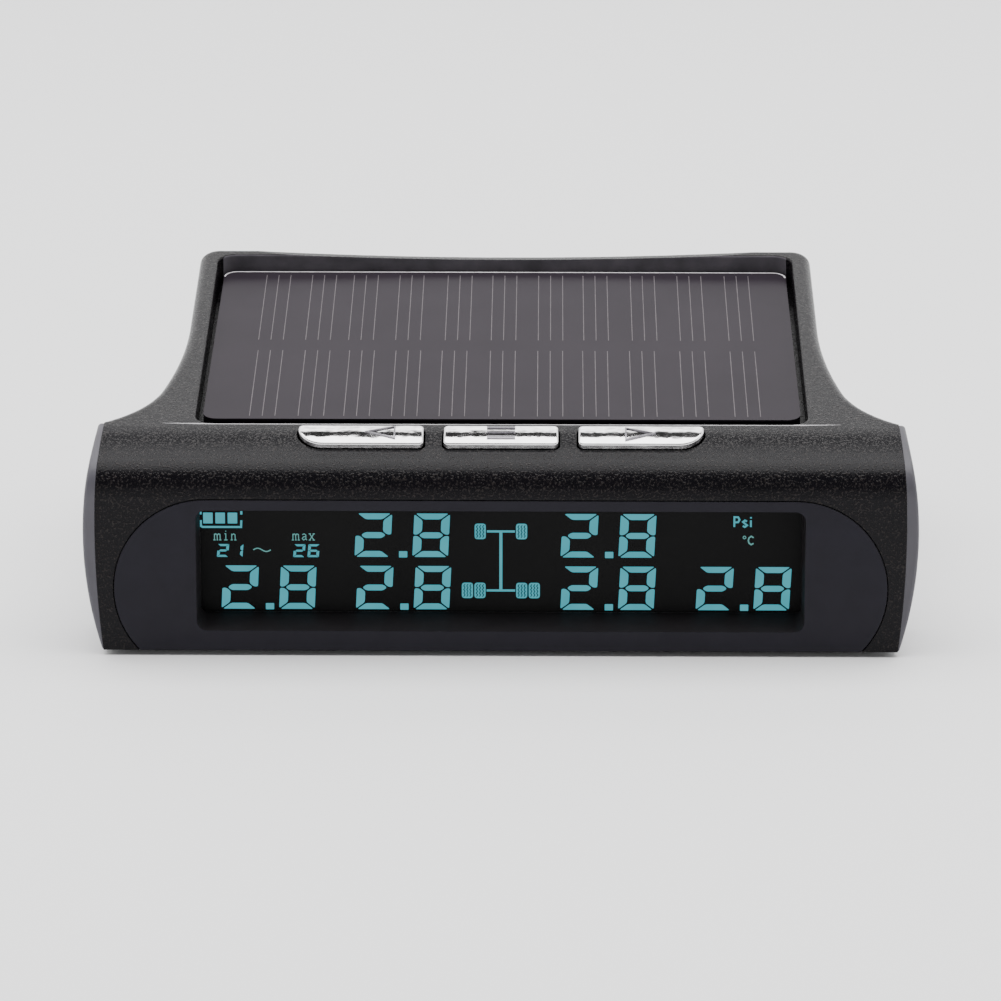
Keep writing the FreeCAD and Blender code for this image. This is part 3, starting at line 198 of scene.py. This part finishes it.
def laminate(name, colour, roughness):
    """A solder-masked board with faint copper tracks under the mask."""
    paint = Paint(name)
    tracks = paint.add("ShaderNodeTexVoronoi", {"Vector": paint.place, "Scale": 1.0 / (3.5 * MM)},
                       distance="MANHATTAN").outputs["Distance"]
    paint.tint(tracks, scaled(colour, 1.5), colour, 0.35, 0.42)
    paint.roughness(paint.noise(2 * MM), roughness * 0.85, roughness * 1.15)
    paint.relief(tracks, 0.01 * MM)
    return paint.material


def lcd_surface():
    """Polarised glass, nearly black."""
    paint = Paint("display_glass", **{"Specular IOR Level": 0.03})
    paint.tint(paint.noise(16 * MM, 2.0), (0.0080, 0.0080, 0.0082), (0.0094, 0.0093, 0.0094))
    paint.roughness(paint.noise(3 * MM), 0.2, 0.26)
    paint.relief(paint.noise(0.15 * MM), 0.0015 * MM)
    return paint.material


def lit_segment(name, dim, bright):
    """Back-lit teal: it glows, a little unevenly."""
    paint = Paint(name, **{"Base Color": (0.008, 0.02, 0.022, 1.0), "Roughness": 0.5,
                           "Specular IOR Level": 0.05, "Emission Strength": 1.0})
    ramp = paint.add("ShaderNodeValToRGB", {"Fac": paint.noise(4 * MM, 2.0)})
    ramp.color_ramp.elements[0].position = 0.3
    ramp.color_ramp.elements[0].color = (*dim, 1.0)
    ramp.color_ramp.elements[1].position = 0.7
    ramp.color_ramp.elements[1].color = (*bright, 1.0)
    paint.set(paint.shader, {"Emission Color": ramp.outputs["Color"]})
    return paint.material


def plain(name, colour, roughness):
    """Simple moulded or coated parts, mostly inside."""
    paint = Paint(name)
    paint.tint(paint.noise(1.5 * MM, 3.0), scaled(colour, 0.82), scaled(colour, 1.15))
    paint.roughness(paint.noise(1 * MM), roughness * 0.85, roughness * 1.15)
    paint.relief(paint.noise(0.25 * MM), 0.006 * MM)
    return paint.material


SHELL = grained_shell()
SEGMENT = lit_segment("lit_segment", (0.058, 0.385, 0.465), (0.074, 0.430, 0.515))
LETTERING = lit_segment("lit_lettering", (0.115, 0.345, 0.330), (0.150, 0.400, 0.380))
LINE = pale_print_and_highlight("contact_line", (0.108, 0.096, 0.103))
# A pale strip round the resin's rear edge: a painted highlight.
RESIN_HIGHLIGHT = pale_print_and_highlight("painted_resin_highlight", (0.52, 0.50, 0.52))
# A pale strip along the deck's rear edge: a painted highlight.
TRAY_HIGHLIGHT = pale_print_and_highlight("painted_tray_highlight", (0.42, 0.41, 0.42))
MARK = metal("key_mark", (0.26, 0.25, 0.27), 0.3)
SILICON = silicon()
PLATED = plated()
DISPLAY = lcd_surface()
BOARD = laminate("green_board", (0.01, 0.07, 0.03), 0.35)
STEEL = metal("tinned_steel", (0.55, 0.55, 0.56), 0.35)
NYLON = plain("nylon", (0.62, 0.58, 0.48), 0.5)
CHIP = plain("chip_epoxy", (0.018, 0.018, 0.019), 0.55)
FOAM = rubber("foam", (0.03, 0.03, 0.03), 0.35 * MM)
BLACK_PLASTIC = plain("black_plastic", (0.02, 0.02, 0.021), 0.42)

FINISHES = {
    "upper_housing": SHELL,
    "base_plate": satin("base_plastic", (0.010, 0.010, 0.011), 0.5),
    "front_bezel": satin("satin_bezel", (0.0092, 0.0082, 0.0132), 0.4, 0.15, 0.14),
    "left_end_cap": satin("satin_cap", (0.070, 0.067, 0.079), 0.42, 0.1),
    # The right cap's satin is a darker copy of the left's: painted shade.
    "right_end_cap": satin("satin_cap_right_painted_shade", (0.063, 0.060, 0.070), 0.42, 0.1),
    "anti_slip_pad": rubber("soft_pad", (0.022, 0.022, 0.022), 0.8 * MM),
    "solar_film": clear_film(),
    "solar_cells": SILICON,
    "solar_board": SILICON,
    "solar_foam_tape": FOAM,
    "lcd_gasket": FOAM,
    "battery_foam_tape": FOAM,
    "lcd_front_glass": DISPLAY,
    "lcd_rear_glass": DISPLAY,
    "lcd_frame": plain("white_frame", (0.6, 0.6, 0.58), 0.5),
    "backlight_diffuser": plain("diffuser", (0.7, 0.73, 0.73), 0.6),
    "backlight_guide": plain("light_guide", (0.6, 0.68, 0.7), 0.15),
    "backlight_reflector": plain("reflector", (0.78, 0.78, 0.78), 0.3),
    "backlight_leds": plain("lamp", (0.75, 0.7, 0.4), 0.3),
    "contact_strip": rubber("contact_rubber", (0.15, 0.15, 0.16), 0.5 * MM),
    "antenna_coil": metal("copper", (0.7, 0.36, 0.2), 0.3),
    "battery_pack": metal("foil_pouch", (0.5, 0.51, 0.53), 0.42),
    "capacitors": metal("can", (0.6, 0.6, 0.62), 0.3),
    "usb_port_tongue": BLACK_PLASTIC,
    "power_switch_body": BLACK_PLASTIC,
    "power_switch_knob": plain("knob", (0.03, 0.03, 0.031), 0.4),
}
for lead in ("battery_lead", "solar_lead"):
    FINISHES[lead + "_red"] = plain(lead + "_red_skin", (0.5, 0.015, 0.015), 0.4)
    FINISHES[lead + "_black"] = plain(lead + "_black_skin", (0.02, 0.02, 0.02), 0.4)
for key in ("left", "menu", "right"):
    FINISHES[key + "_button"] = PLATED
    FINISHES[key + "_key_switch"] = BLACK_PLASTIC
    FINISHES[key + "_switch_plunger"] = STEEL
for node in ("display_board", "key_board", "main_board", "receiver_board"):
    FINISHES[node] = BOARD
for node in ("base_screws", "display_board_screws", "main_board_screws", "key_board_screws",
             "receiver_can", "crystal", "usb_port_shell"):
    FINISHES[node] = STEEL
for node in ("display_driver_chip", "controller_chip", "buzzer", "motion_sensor"):
    FINISHES[node] = CHIP
for node in ("ribbon_plug", "battery_socket", "battery_plug", "key_ribbon", "board_ribbon"):
    FINISHES[node] = NYLON

for node, material in FINISHES.items():
    mesh = NODES[node].data
    mesh.materials.clear()
    mesh.materials.append(material)


# ------------------------------------------------------------------ flat pieces

class Face:
    """A flat face of a CAD node: x runs along +X, y up or back along the face from its lowest edge."""

    def __init__(self, node, toward):
        mesh = NODES[node].data
        toward = Vector(toward).normalized()
        faces = [p for p in mesh.polygons if p.normal.dot(toward) > 0.97]
        best = max(faces, key=lambda p: p.area).normal
        faces = [p for p in faces if p.normal.dot(best) > 0.9999]
        self.normal = best.normalized()
        self.along = Vector((1, 0, 0))
        self.up = self.normal.cross(self.along)
        corners = [mesh.vertices[v].co for p in faces for v in p.vertices]
        level = max(c.dot(self.normal) for c in corners)
        corners = [c for c in corners if level - c.dot(self.normal) < 0.01 * MM]
        self.level = level
        self.low = min(c.dot(self.up) for c in corners)
        self.high = max(c.dot(self.up) for c in corners)
        self.left = min(c.x for c in corners)
        self.right = max(c.x for c in corners)

    def point(self, x, y, lift):
        return self.along * x + self.up * (self.low + y) + self.normal * (self.level + lift)


def paint_light_on_rear_wall():
    """The rear wall of the solar tray has a smoother finish, and a lighter colour that is painted light for
    the light falling on it from the front.
    """
    shell = NODES["upper_housing"].data
    # The lighter colour is painted light.
    shell.materials.append(satin("tray_wall_painted_light", (0.088, 0.081, 0.093), 0.5, 0.5, 0.1))
    for polygon in shell.polygons:
        centre, normal = polygon.center, polygon.normal
        at_rear = centre.y > 25 * MM and centre.z > 30 * MM
        if normal.y < -0.7 and at_rear and abs(centre.x) < 44 * MM:
            polygon.material_index = 1


def dull_window_sides_painted_light():
    """The sides of the display window are matt, so they don't mirror the display; their colour, lighter
    than the bezel's, is painted light for the light reaching into the recess.
    """
    bezel = NODES["front_bezel"].data
    # Painted light: the colour is raised for light falling into the window's recess.
    bezel.materials.append(satin("matt_window_painted_light", (0.0175, 0.0155, 0.0170), 0.6, 0.2, 0.05))
    front = Face("front_bezel", (0, -1, 0.06))
    left, right = -43.4 * MM, 43.4 * MM
    low, high = 2.5 * MM, 20.8 * MM
    for polygon in bezel.polygons:
        deep = front.level - polygon.center.dot(front.normal)
        up = polygon.center.dot(front.up) - front.low
        if deep > 0.2 * MM and left < polygon.center.x < right and low < up < high:
            polygon.material_index = 1


def rounded(points, radius, steps=4):
    """A convex outline with its corners rounded."""
    result = []
    count = len(points)
    for index in range(count):
        here = Vector(points[index])
        into = Vector(points[index - 1]) - here
        out = Vector(points[(index + 1) % count]) - here
        reach = min(radius, into.length * 0.45, out.length * 0.45)
        start = here + into.normalized() * reach
        end = here + out.normalized() * reach
        for step in range(steps + 1):
            t = step / steps
            result.append(start * (1 - t) ** 2 + here * 2 * t * (1 - t) + end * t ** 2)
    return result


def shrunk(points, gap):
    """A convex counterclockwise outline moved inwards."""
    result = []
    count = len(points)
    for index in range(count):
        before, here, after = (Vector(points[(index + k) % count]) for k in (-1, 0, 1))
        first = (here - before).normalized()
        second = (after - here).normalized()
        inward = Vector((-first.y, first.x)) + Vector((-second.y, second.x))
        inward.normalize()
        slope = max(inward.dot(Vector((-first.y, first.x))), 0.3)
        result.append(here + inward * (gap / slope))
    return result


def stroke(points, width):
    """The outline of a line drawn through points, with mitred bends."""
    points = [Vector(p) for p in points]
    left, right = [], []
    for index, here in enumerate(points):
        into = (here - points[index - 1]).normalized() if index else None
        out = (points[index + 1] - here).normalized() if index < len(points) - 1 else None
        ways = [w for w in (into, out) if w]
        side = sum((Vector((-w.y, w.x)) for w in ways), Vector((0, 0))).normalized()
        reach = width / 2 / max(side.dot(Vector((-ways[0].y, ways[0].x))), 0.4)
        left.append(here + side * reach)
        right.append(here - side * reach)
    return right + left[::-1]


def arc(x, y, radius_x, radius_y, start, end, steps=10):
    turns = [math.radians(start + (end - start) * k / steps) for k in range(steps + 1)]
    return [(x + radius_x * math.cos(turn), y + radius_y * math.sin(turn)) for turn in turns]


def ribbon_faces(outline):
    """Splits a stroke's outline into quads, side by side."""
    half = len(outline) // 2
    right, left = outline[:half], outline[half:][::-1]
    return [[right[k], right[k + 1], left[k + 1], left[k]] for k in range(half - 1)]


def add_piece(name, build, material, body):
    """Turns a finished bmesh into a piece that rides on a body."""
    mesh = bpy.data.meshes.new(name)
    bmesh.ops.recalc_face_normals(build, faces=build.faces)
    build.to_mesh(mesh)
    build.free()
    mesh.materials.append(material)
    piece = bpy.data.objects.new(name, mesh)
    bpy.context.scene.collection.objects.link(piece)
    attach(piece, body)


def inlay(name, outlines, face, lift, thick, material):
    """Thin raised shapes on a face, drawn in millimetres from the middle of its lowest edge."""
    build = bmesh.new()
    for outline in outlines:
        tops = [build.verts.new(face.point(p[0] * MM, p[1] * MM, lift)) for p in outline]
        bottoms = [build.verts.new(face.point(p[0] * MM, p[1] * MM, lift - thick)) for p in outline]
        build.faces.new(tops)
        build.faces.new(bottoms[::-1])
        for index in range(len(outline)):
            after = (index + 1) % len(outline)
            build.faces.new([tops[index], bottoms[index], bottoms[after], tops[after]])
    add_piece(name, build, material, "monitor")


# ------------------------------------------------------------------ the display's drawing, in millimetres

SEGMENTS_OF = {"1": "bc", "2": "abged", "6": "afgedc", "8": "abcdefg"}
WHEEL = (1.6, 2.3)
WHEEL_CORNER = 0.45
TREAD_LINE = 0.11


def digit(text, x, y, wide, tall, bar, rung, lean, gap, soft):
    """One seven-segment figure; bar is the uprights' width, rung the level bars' height."""
    middle = tall / 2
    nose = bar * 0.5
    right = wide - bar
    shapes = {
        "a": [(0, tall), (bar, tall - rung), (right, tall - rung), (wide, tall)],
        "d": [(0, 0), (wide, 0), (right, rung), (bar, rung)],
        "f": [(0, tall), (0, middle), (nose, middle), (bar, middle + rung / 2), (bar, tall - rung)],
        "e": [(0, 0), (bar, rung), (bar, middle - rung / 2), (nose, middle), (0, middle)],
        "b": [(wide, tall), (right, tall - rung), (right, middle + rung / 2), (wide - nose, middle),
              (wide, middle)],
        "c": [(wide, 0), (wide, middle), (wide - nose, middle), (right, middle - rung / 2), (right, rung)],
        "g": [(nose, middle), (bar, middle - rung / 2), (right, middle - rung / 2), (wide - nose, middle),
              (right, middle + rung / 2), (bar, middle + rung / 2)],
    }
    outlines = []
    for letter in SEGMENTS_OF[text]:
        outline = rounded(shrunk(shapes[letter], gap / 2), soft)
        outlines.append([(x + p[0] + lean * p[1] / tall, y + p[1]) for p in outline])
    return outlines


def rectangle(x0, x1, y0, y1):
    return [(x0, y0), (x1, y0), (x1, y1), (x0, y1)]


def reading(x, y):
    """A pressure, drawn as two figures and a point."""
    size = {"wide": 5.3, "tall": 6.62, "bar": 1.42, "rung": 1.08, "lean": 0.33, "gap": 0.2, "soft": 0.32}
    shapes = digit("2", x, y, **size) + digit("8", x + 8.25, y, **size)
    shapes.append(rounded(rectangle(x + 6.45, x + 7.65, y + 0.02, y + 0.95), 0.12))
    return shapes


def small_number(text, x, y):
    size = {"wide": 1.68, "tall": 1.95, "bar": 0.44, "rung": 0.36, "lean": 0.18, "gap": 0.05, "soft": 0.05}
    pitch = 2.04
    shapes = []
    for index, letter in enumerate(text):
        shapes += digit(letter, x + pitch * index, y, **size)
    return shapes


def wheel(x, y):
    wide, tall = WHEEL
    return rounded(rectangle(x - wide / 2, x + wide / 2, y - tall / 2, y + tall / 2), WHEEL_CORNER)


def tread(x, y):
    """Three zigzag grooves down a wheel."""
    wide, tall = WHEEL
    bends, sway = 7, 0.1
    grooves = []
    for column in (-1, 0, 1):
        middle = x + column * wide * 0.27
        points = [(middle + (sway if step % 2 else -sway), y - tall * 0.4 + tall * 0.8 * step / bends)
                  for step in range(bends + 1)]
        grooves += ribbon_faces(stroke(points, TREAD_LINE))
    return grooves


def foot(x, y=0, half=0.17):
    return [(x - half, y), (x + half, y)]


# Lettering as strokes, with the height of a small letter as the unit.
LETTERS = {
    "m": [[(0.2, 1), (0.2, 0)], [(0.2, 0.75), (0.38, 0.98), (0.6, 0.9), (0.65, 0)],
          [(0.65, 0.75), (0.84, 0.98), (1.05, 0.9), (1.1, 0)], foot(0.2), foot(0.65, 0, 0.12), foot(1.1)],
    "i": [[(0.1, 1), (0.3, 1), (0.3, 0)], foot(0.3, 0, 0.26), [(0.3, 1.32), (0.3, 1.48)]],
    "n": [[(0.22, 1), (0.22, 0)], [(0.22, 0.72), (0.5, 0.98), (0.74, 0.85), (0.78, 0)], foot(0.22),
          foot(0.78)],
    "a": [[(0.12, 0.85), (0.4, 1.0), (0.66, 0.82), (0.68, 0.1), (0.84, 0.02)],
          [(0.66, 0.58), (0.28, 0.5), (0.1, 0.25), (0.3, 0.0), (0.66, 0.22)]],
    "x": [[(0.14, 0.02), (0.76, 0.98)], [(0.14, 0.98), (0.76, 0.02)], foot(0.14), foot(0.76), foot(0.14, 1),
          foot(0.76, 1)],
    "P": [[(0.1, 0), (0.1, 1.5), (0.66, 1.48), (0.86, 1.1), (0.66, 0.72), (0.1, 0.7)]],
    "s": [[(0.66, 0.84), (0.36, 1), (0.08, 0.78), (0.36, 0.52), (0.68, 0.26), (0.36, 0), (0.06, 0.16)]],
    "I": [[(0.1, 1.02), (0.1, 0)], [(0.1, 1.3), (0.1, 1.52)]],
    "C": [[(0.9, 1.22), (0.5, 1.48), (0.14, 1.2), (0.02, 0.75), (0.14, 0.3), (0.5, 0.02), (0.9, 0.26)]],
}
LETTER_WIDTH = {"m": 1.27, "i": 0.6, "n": 1.0, "a": 0.86, "x": 0.9, "P": 0.86, "s": 0.7, "I": 0.2, "C": 0.9}


def word(text, x, y, tall, gap, weight):
    """Plain lettering; tall is the height of a small letter."""
    shapes = []
    for letter in text:
        for line in LETTERS[letter]:
            points = [(x + p[0] * tall, y + p[1] * tall) for p in line]
            shapes += ribbon_faces(stroke(points, weight))
        x += LETTER_WIDTH[letter] * tall + gap
    return shapes


def battery_sign(x, y):
    """Three charge bars in an open tray."""
    pitch, soft = 1.75, 0.08
    shapes = [rounded(rectangle(x + 0.5 + pitch * k, x + 1.87 + pitch * k, y + 0.68, y + 2.28), soft)
              for k in range(3)]
    rail = [(x + 0.17, y + 1.15), (x + 0.17, y + 0.32), (x + 0.4, y + 0.16), (x + 5.9, y + 0.16),
            (x + 5.95, y + 1.15)]
    shapes += ribbon_faces(stroke(rail, 0.3))
    shapes.append(rounded(rectangle(x - 0.02, x + 0.3, y + 2.0, y + 2.4), soft))
    shapes.append(rounded(rectangle(x + 5.8, x + 6.12, y + 2.0, y + 2.5), soft))
    return shapes


def draw_display():
    glass = Face("lcd_front_glass", (0, -1, 0))
    low_row, high_row, small_row = 1.12, 8.87, 8.87
    shapes = []
    for x in (-40.1, -20.85, 8.4, 27.75):
        shapes += reading(x, low_row)
    for x in (-21.0, 8.4):
        shapes += reading(x, high_row)
    shapes += battery_sign(-42.95, 13.15)
    shapes += small_number("21", -40.6, small_row)
    shapes += small_number("26", -29.7, small_row)
    shapes += word("PsI", 33.15, 13.54, 0.97, 0.42, 0.27)
    front_axle, rear_axle, thin, thick = 12.78, 4.05, 0.16, 0.22
    for y, half in ((front_axle, 2.0), (rear_axle, 2.05)):
        shapes.append(rectangle(-half, half, y - thin, y + thin))
    shapes.append(rectangle(-thick, thick, rear_axle + thin, front_axle - thin))
    wheels = [(side * 2.95, front_axle) for side in (-1, 1)]
    wheels += [(side * x, rear_axle) for side in (-1, 1) for x in (2.98, 4.78)]
    shapes += [wheel(x, y) for x, y in wheels]
    grooves = [shape for x, y in wheels for shape in tread(x, y)]
    letters = word("min", -41.05, 11.4, 0.92, 0.36, 0.13) + word("max", -29.85, 11.42, 0.92, 0.25, 0.13)
    letters += word("C", 35.25, 10.92, 0.85, 0.3, 0.2)
    letters += ribbon_faces(stroke(arc(34.72, 12.0, 0.2, 0.2, 0, 360), 0.12))
    steps, long, swing = 12, 2.5, 0.24
    wave = [(-35.35 + long * k / steps, 9.95 + swing * math.sin(2 * math.pi * k / steps))
            for k in range(steps + 1)]
    letters += ribbon_faces(stroke(wave, 0.16))
    inlay("display_figures", shapes, glass, 0.03 * MM, 0.02 * MM, SEGMENT)
    inlay("display_letters", letters, glass, 0.03 * MM, 0.02 * MM, LETTERING)
    inlay("display_treads", grooves, glass, 0.036 * MM, 0.01 * MM, DISPLAY)


# ------------------------------------------------------------------ solar contact lines

def draw_contacts():
    """Three fine lines over every cell, set a little unevenly, and a painted highlight along the rear edge
    of the resin.
    """
    cells = Face("solar_cells", (0, 0, 1))
    film = Face("solar_film", (0, 0, 1))
    base = (cells.low - film.low) / MM
    pitch, spacing, first, half_line = 7.0, 1.83, -34.6, 0.052
    front = (0.14, 0.14, -0.29, -0.43, -0.58, -0.43, -0.43, -0.8, -0.87, -0.43, 0.0)
    rear = (0.0, 0.0, -0.6, -0.6, -0.23, -0.38, -0.38, -0.6, -0.38, -0.23, 0.0)
    lines = []
    for start, end, offsets in ((0.0, 22.93, front), (26.78, 50.98, rear)):
        for column, offset in enumerate(offsets):
            for finger in (-1, 0, 1):
                x = first + column * pitch + offset + finger * spacing
                lines.append(rectangle(x - half_line, x + half_line, base + start, base + end))
    inlay("contact_lines", lines, film, 0.012 * MM, 0.02 * MM, LINE)
    # The pale strip along the resin's rear edge is a painted highlight.
    half, tall, corner, inset = 43.0, (film.high - film.low) / MM, 2.0, 0.12
    bend = corner - inset
    edge = arc(-half + corner, tall - corner, bend, bend, 180, 90, 8)
    edge += arc(half - corner, tall - corner, bend, bend, 90, 0, 8)
    faces = ribbon_faces(stroke(edge, 0.26))
    inlay("painted_resin_highlight", faces, film, 0.014 * MM, 0.03 * MM, RESIN_HIGHLIGHT)


def draw_painted_tray_highlight():
    """A painted highlight: a fine bright strip along the rear edge of the deck, tapering towards both ends,
    standing in for the light that edge catches.
    """
    shell = NODES["upper_housing"]
    half, count, above = 48.4, 120, 60
    rear, width, proud = -24.0, 0.30, 0.03
    profile = ((1.0, 0.0), (0.6, proud), (0.2, proud), (0.0, 0.0))
    build = bmesh.new()
    rows = []
    for index in range(count + 1):
        x = -half + 2 * half * index / count
        wide = width * min(1.0, (half - abs(x)) / 6 + 0.12)
        row = []
        for share, lift in profile:
            start = Vector((x * MM, (rear - wide * share) * MM, above * MM))
            spot = shell.ray_cast(start, Vector((0, 0, -1)))[1]
            row.append(build.verts.new(spot + Vector((0, 0, lift * MM))))
        rows.append(row)
    for row, after in zip(rows, rows[1:]):
        for k in range(len(profile) - 1):
            build.faces.new([row[k], after[k], after[k + 1], row[k + 1]])
    add_piece("painted_tray_highlight", build, TRAY_HIGHLIGHT, "monitor")


# ------------------------------------------------------------------ marks on the keys

def ridge(name, loops, face, body):
    """Closed raised outlines that follow a key's crowned top, drawn in millimetres from its crest."""
    width, height, depth, crown = 0.34, 0.18, 0.3, 10
    build = bmesh.new()
    section = ((-0.5, -depth), (-0.3, height), (0.3, height), (0.5, -depth))
    for corners in loops:
        loop = []
        for index, corner in enumerate(corners):
            after = corners[(index + 1) % len(corners)]
            loop += [Vector(corner).lerp(Vector(after), step / 5) for step in range(5)]
        rings = []
        count = len(loop)
        for index in range(count):
            before, here, after = (loop[(index + k) % count] for k in (-1, 0, 1))
            first = (here - before).normalized()
            second = (after - here).normalized()
            side = Vector((-first.y - second.y, first.x + second.x)).normalized()
            reach = min(1 / max(side.dot(Vector((-first.y, first.x))), 0.35), 2.0)
            ring = []
            for across, lift in section:
                spot = here + side * across * width * reach
                drop = crown - math.sqrt(crown ** 2 - min(spot.y, 0) ** 2)
                ring.append(build.verts.new(face.point(spot.x * MM, spot.y * MM, (lift - drop) * MM)))
            rings.append(ring)
        for index in range(count):
            ring, after = rings[index], rings[(index + 1) % count]
            for k in range(len(section)):
                other = (k + 1) % len(section)
                build.faces.new([ring[k], ring[other], after[other], after[k]])
    add_piece(name, build, MARK, body)


def draw_key_marks():
    """A raised triangle on each side key, and three bars on the middle one."""
    low, high = -2.2, 0.85
    middle = (low + high) / 2
    half, thick = 1.9, 0.14
    for key, way, offset in (("left", -1, 2.9), ("right", 1, -0.3), ("menu", 0, 0.0)):
        face = Face(key + "_button", (0, -0.16, 0.98))
        x = (face.left + face.right) / 2 / MM + offset
        if way:
            loops = [[(x - way * half, high), (x + way * 2.1, middle), (x - way * half, low)]]
        else:
            loops = [rectangle(x - half, x + half, y - thick, y + thick)
                     for y in (low + 0.2, middle, high - 0.2)]
        ridge(key + "_mark", loops, face, key + "_key")


paint_light_on_rear_wall()
dull_window_sides_painted_light()
draw_display()
draw_contacts()
draw_painted_tray_highlight()
draw_key_marks()


# ------------------------------------------------------------------ floor, light and camera

def make_floor():
    paint = Paint("pale_floor", **{"Roughness": 0.6, "Specular IOR Level": 0.2})
    paint.tint(paint.noise(0.4, 2.0), (0.87, 0.87, 0.875), (0.90, 0.90, 0.905))
    mesh = bpy.data.meshes.new("floor")
    half = 6.0
    corners = [(x, y, 0) for x, y in rectangle(-half, half, -half, half)]
    mesh.from_pydata(corners, [], [(0, 1, 2, 3)])
    mesh.materials.append(paint.material)
    floor = bpy.data.objects.new("floor", mesh)
    bpy.context.scene.collection.objects.link(floor)


# Degrees above the floor and brightness there.
BEHIND = ((0, 1.0), (28, 0.8), (34, 0.8), (36.5, 1.7), (39, 1.7), (43, 0.015), (90, 0.015))
IN_FRONT = ((0, 0.6), (10, 0.6), (18, 0.10), (42, 0.10), (55, 0.02), (90, 0.02))
# Name, place, size and radiance, which is what a mirror would show.
SOFTBOXES = (
    ("overhead", (0, 0.10, 0.98), (1.5, 0.90), 6.2),
    ("left", (-1.1, -0.1, 0.45), (0.5, 0.9), 1.6),
    ("right", (1.1, -0.1, 0.45), (0.5, 0.9), 1.4),
)
LIGHT_AIM = (0, -0.02, 0.02)


def add_softbox(name, place, size, radiance):
    """A soft area light that the camera doesn't see."""
    data = bpy.data.lights.new(name, "AREA")
    data.shape = "RECTANGLE"
    data.size, data.size_y = size
    data.energy = radiance * math.pi * size[0] * size[1]
    lamp = bpy.data.objects.new(name, data)
    lamp.location = place
    lamp.rotation_euler = (Vector(LIGHT_AIM) - Vector(place)).to_track_quat("-Z", "Y").to_euler()
    lamp.visible_camera = False
    bpy.context.scene.collection.objects.link(lamp)


def elevation_ramp(tree, height, stops):
    """Brightness against the sine of the elevation."""
    ramp = tree.nodes.new("ShaderNodeValToRGB")
    tree.links.new(height, ramp.inputs["Fac"])
    while len(ramp.color_ramp.elements) < len(stops):
        ramp.color_ramp.elements.new(0.5)
    for element, (degrees, level) in zip(ramp.color_ramp.elements, stops):
        element.position = math.sin(math.radians(degrees))
        element.color = (level, level, level, 1.0)
    return ramp.outputs["Color"]


def make_light():
    """A pale sweep and a dark gap above it behind, a softbox overhead, and a dim room in front."""
    world = bpy.data.worlds.new("studio")
    world.use_nodes = True
    tree = world.node_tree
    background = tree.nodes["Background"]
    split = tree.nodes.new("ShaderNodeSeparateXYZ")
    tree.links.new(tree.nodes.new("ShaderNodeTexCoord").outputs["Generated"], split.inputs["Vector"])
    behind = elevation_ramp(tree, split.outputs["Z"], BEHIND)
    front = elevation_ramp(tree, split.outputs["Z"], IN_FRONT)
    side = tree.nodes.new("ShaderNodeMapRange")
    tree.links.new(split.outputs["Y"], side.inputs["Value"])
    side.inputs["From Min"].default_value = -0.2
    side.inputs["From Max"].default_value = 0.3
    mix = tree.nodes.new("ShaderNodeMixRGB")
    tree.links.new(side.outputs["Result"], mix.inputs["Fac"])
    tree.links.new(front, mix.inputs[1])
    tree.links.new(behind, mix.inputs[2])
    tree.links.new(mix.outputs["Color"], background.inputs["Color"])
    background.inputs["Strength"].default_value = 2.4
    bpy.context.scene.world = world
    for box in SOFTBOXES:
        add_softbox(*box)


def make_camera():
    """A long lens, a little to the right and 18 degrees up."""
    elevation = math.radians(18)
    turn = math.radians(0.57)
    distance = 0.684
    target = Vector((0, -0.03595, 0.0228))
    level = math.cos(elevation)
    back = Vector((math.sin(turn) * level, -math.cos(turn) * level, math.sin(elevation)))
    data = bpy.data.cameras.new("camera")
    data.lens = 174.4
    data.sensor_width = 36
    camera = bpy.data.objects.new("camera", data)
    camera.location = target + back * distance
    camera.rotation_euler = (-back).to_track_quat("-Z", "Y").to_euler()
    bpy.context.scene.collection.objects.link(camera)
    bpy.context.scene.camera = camera


make_floor()
make_light()
make_camera()
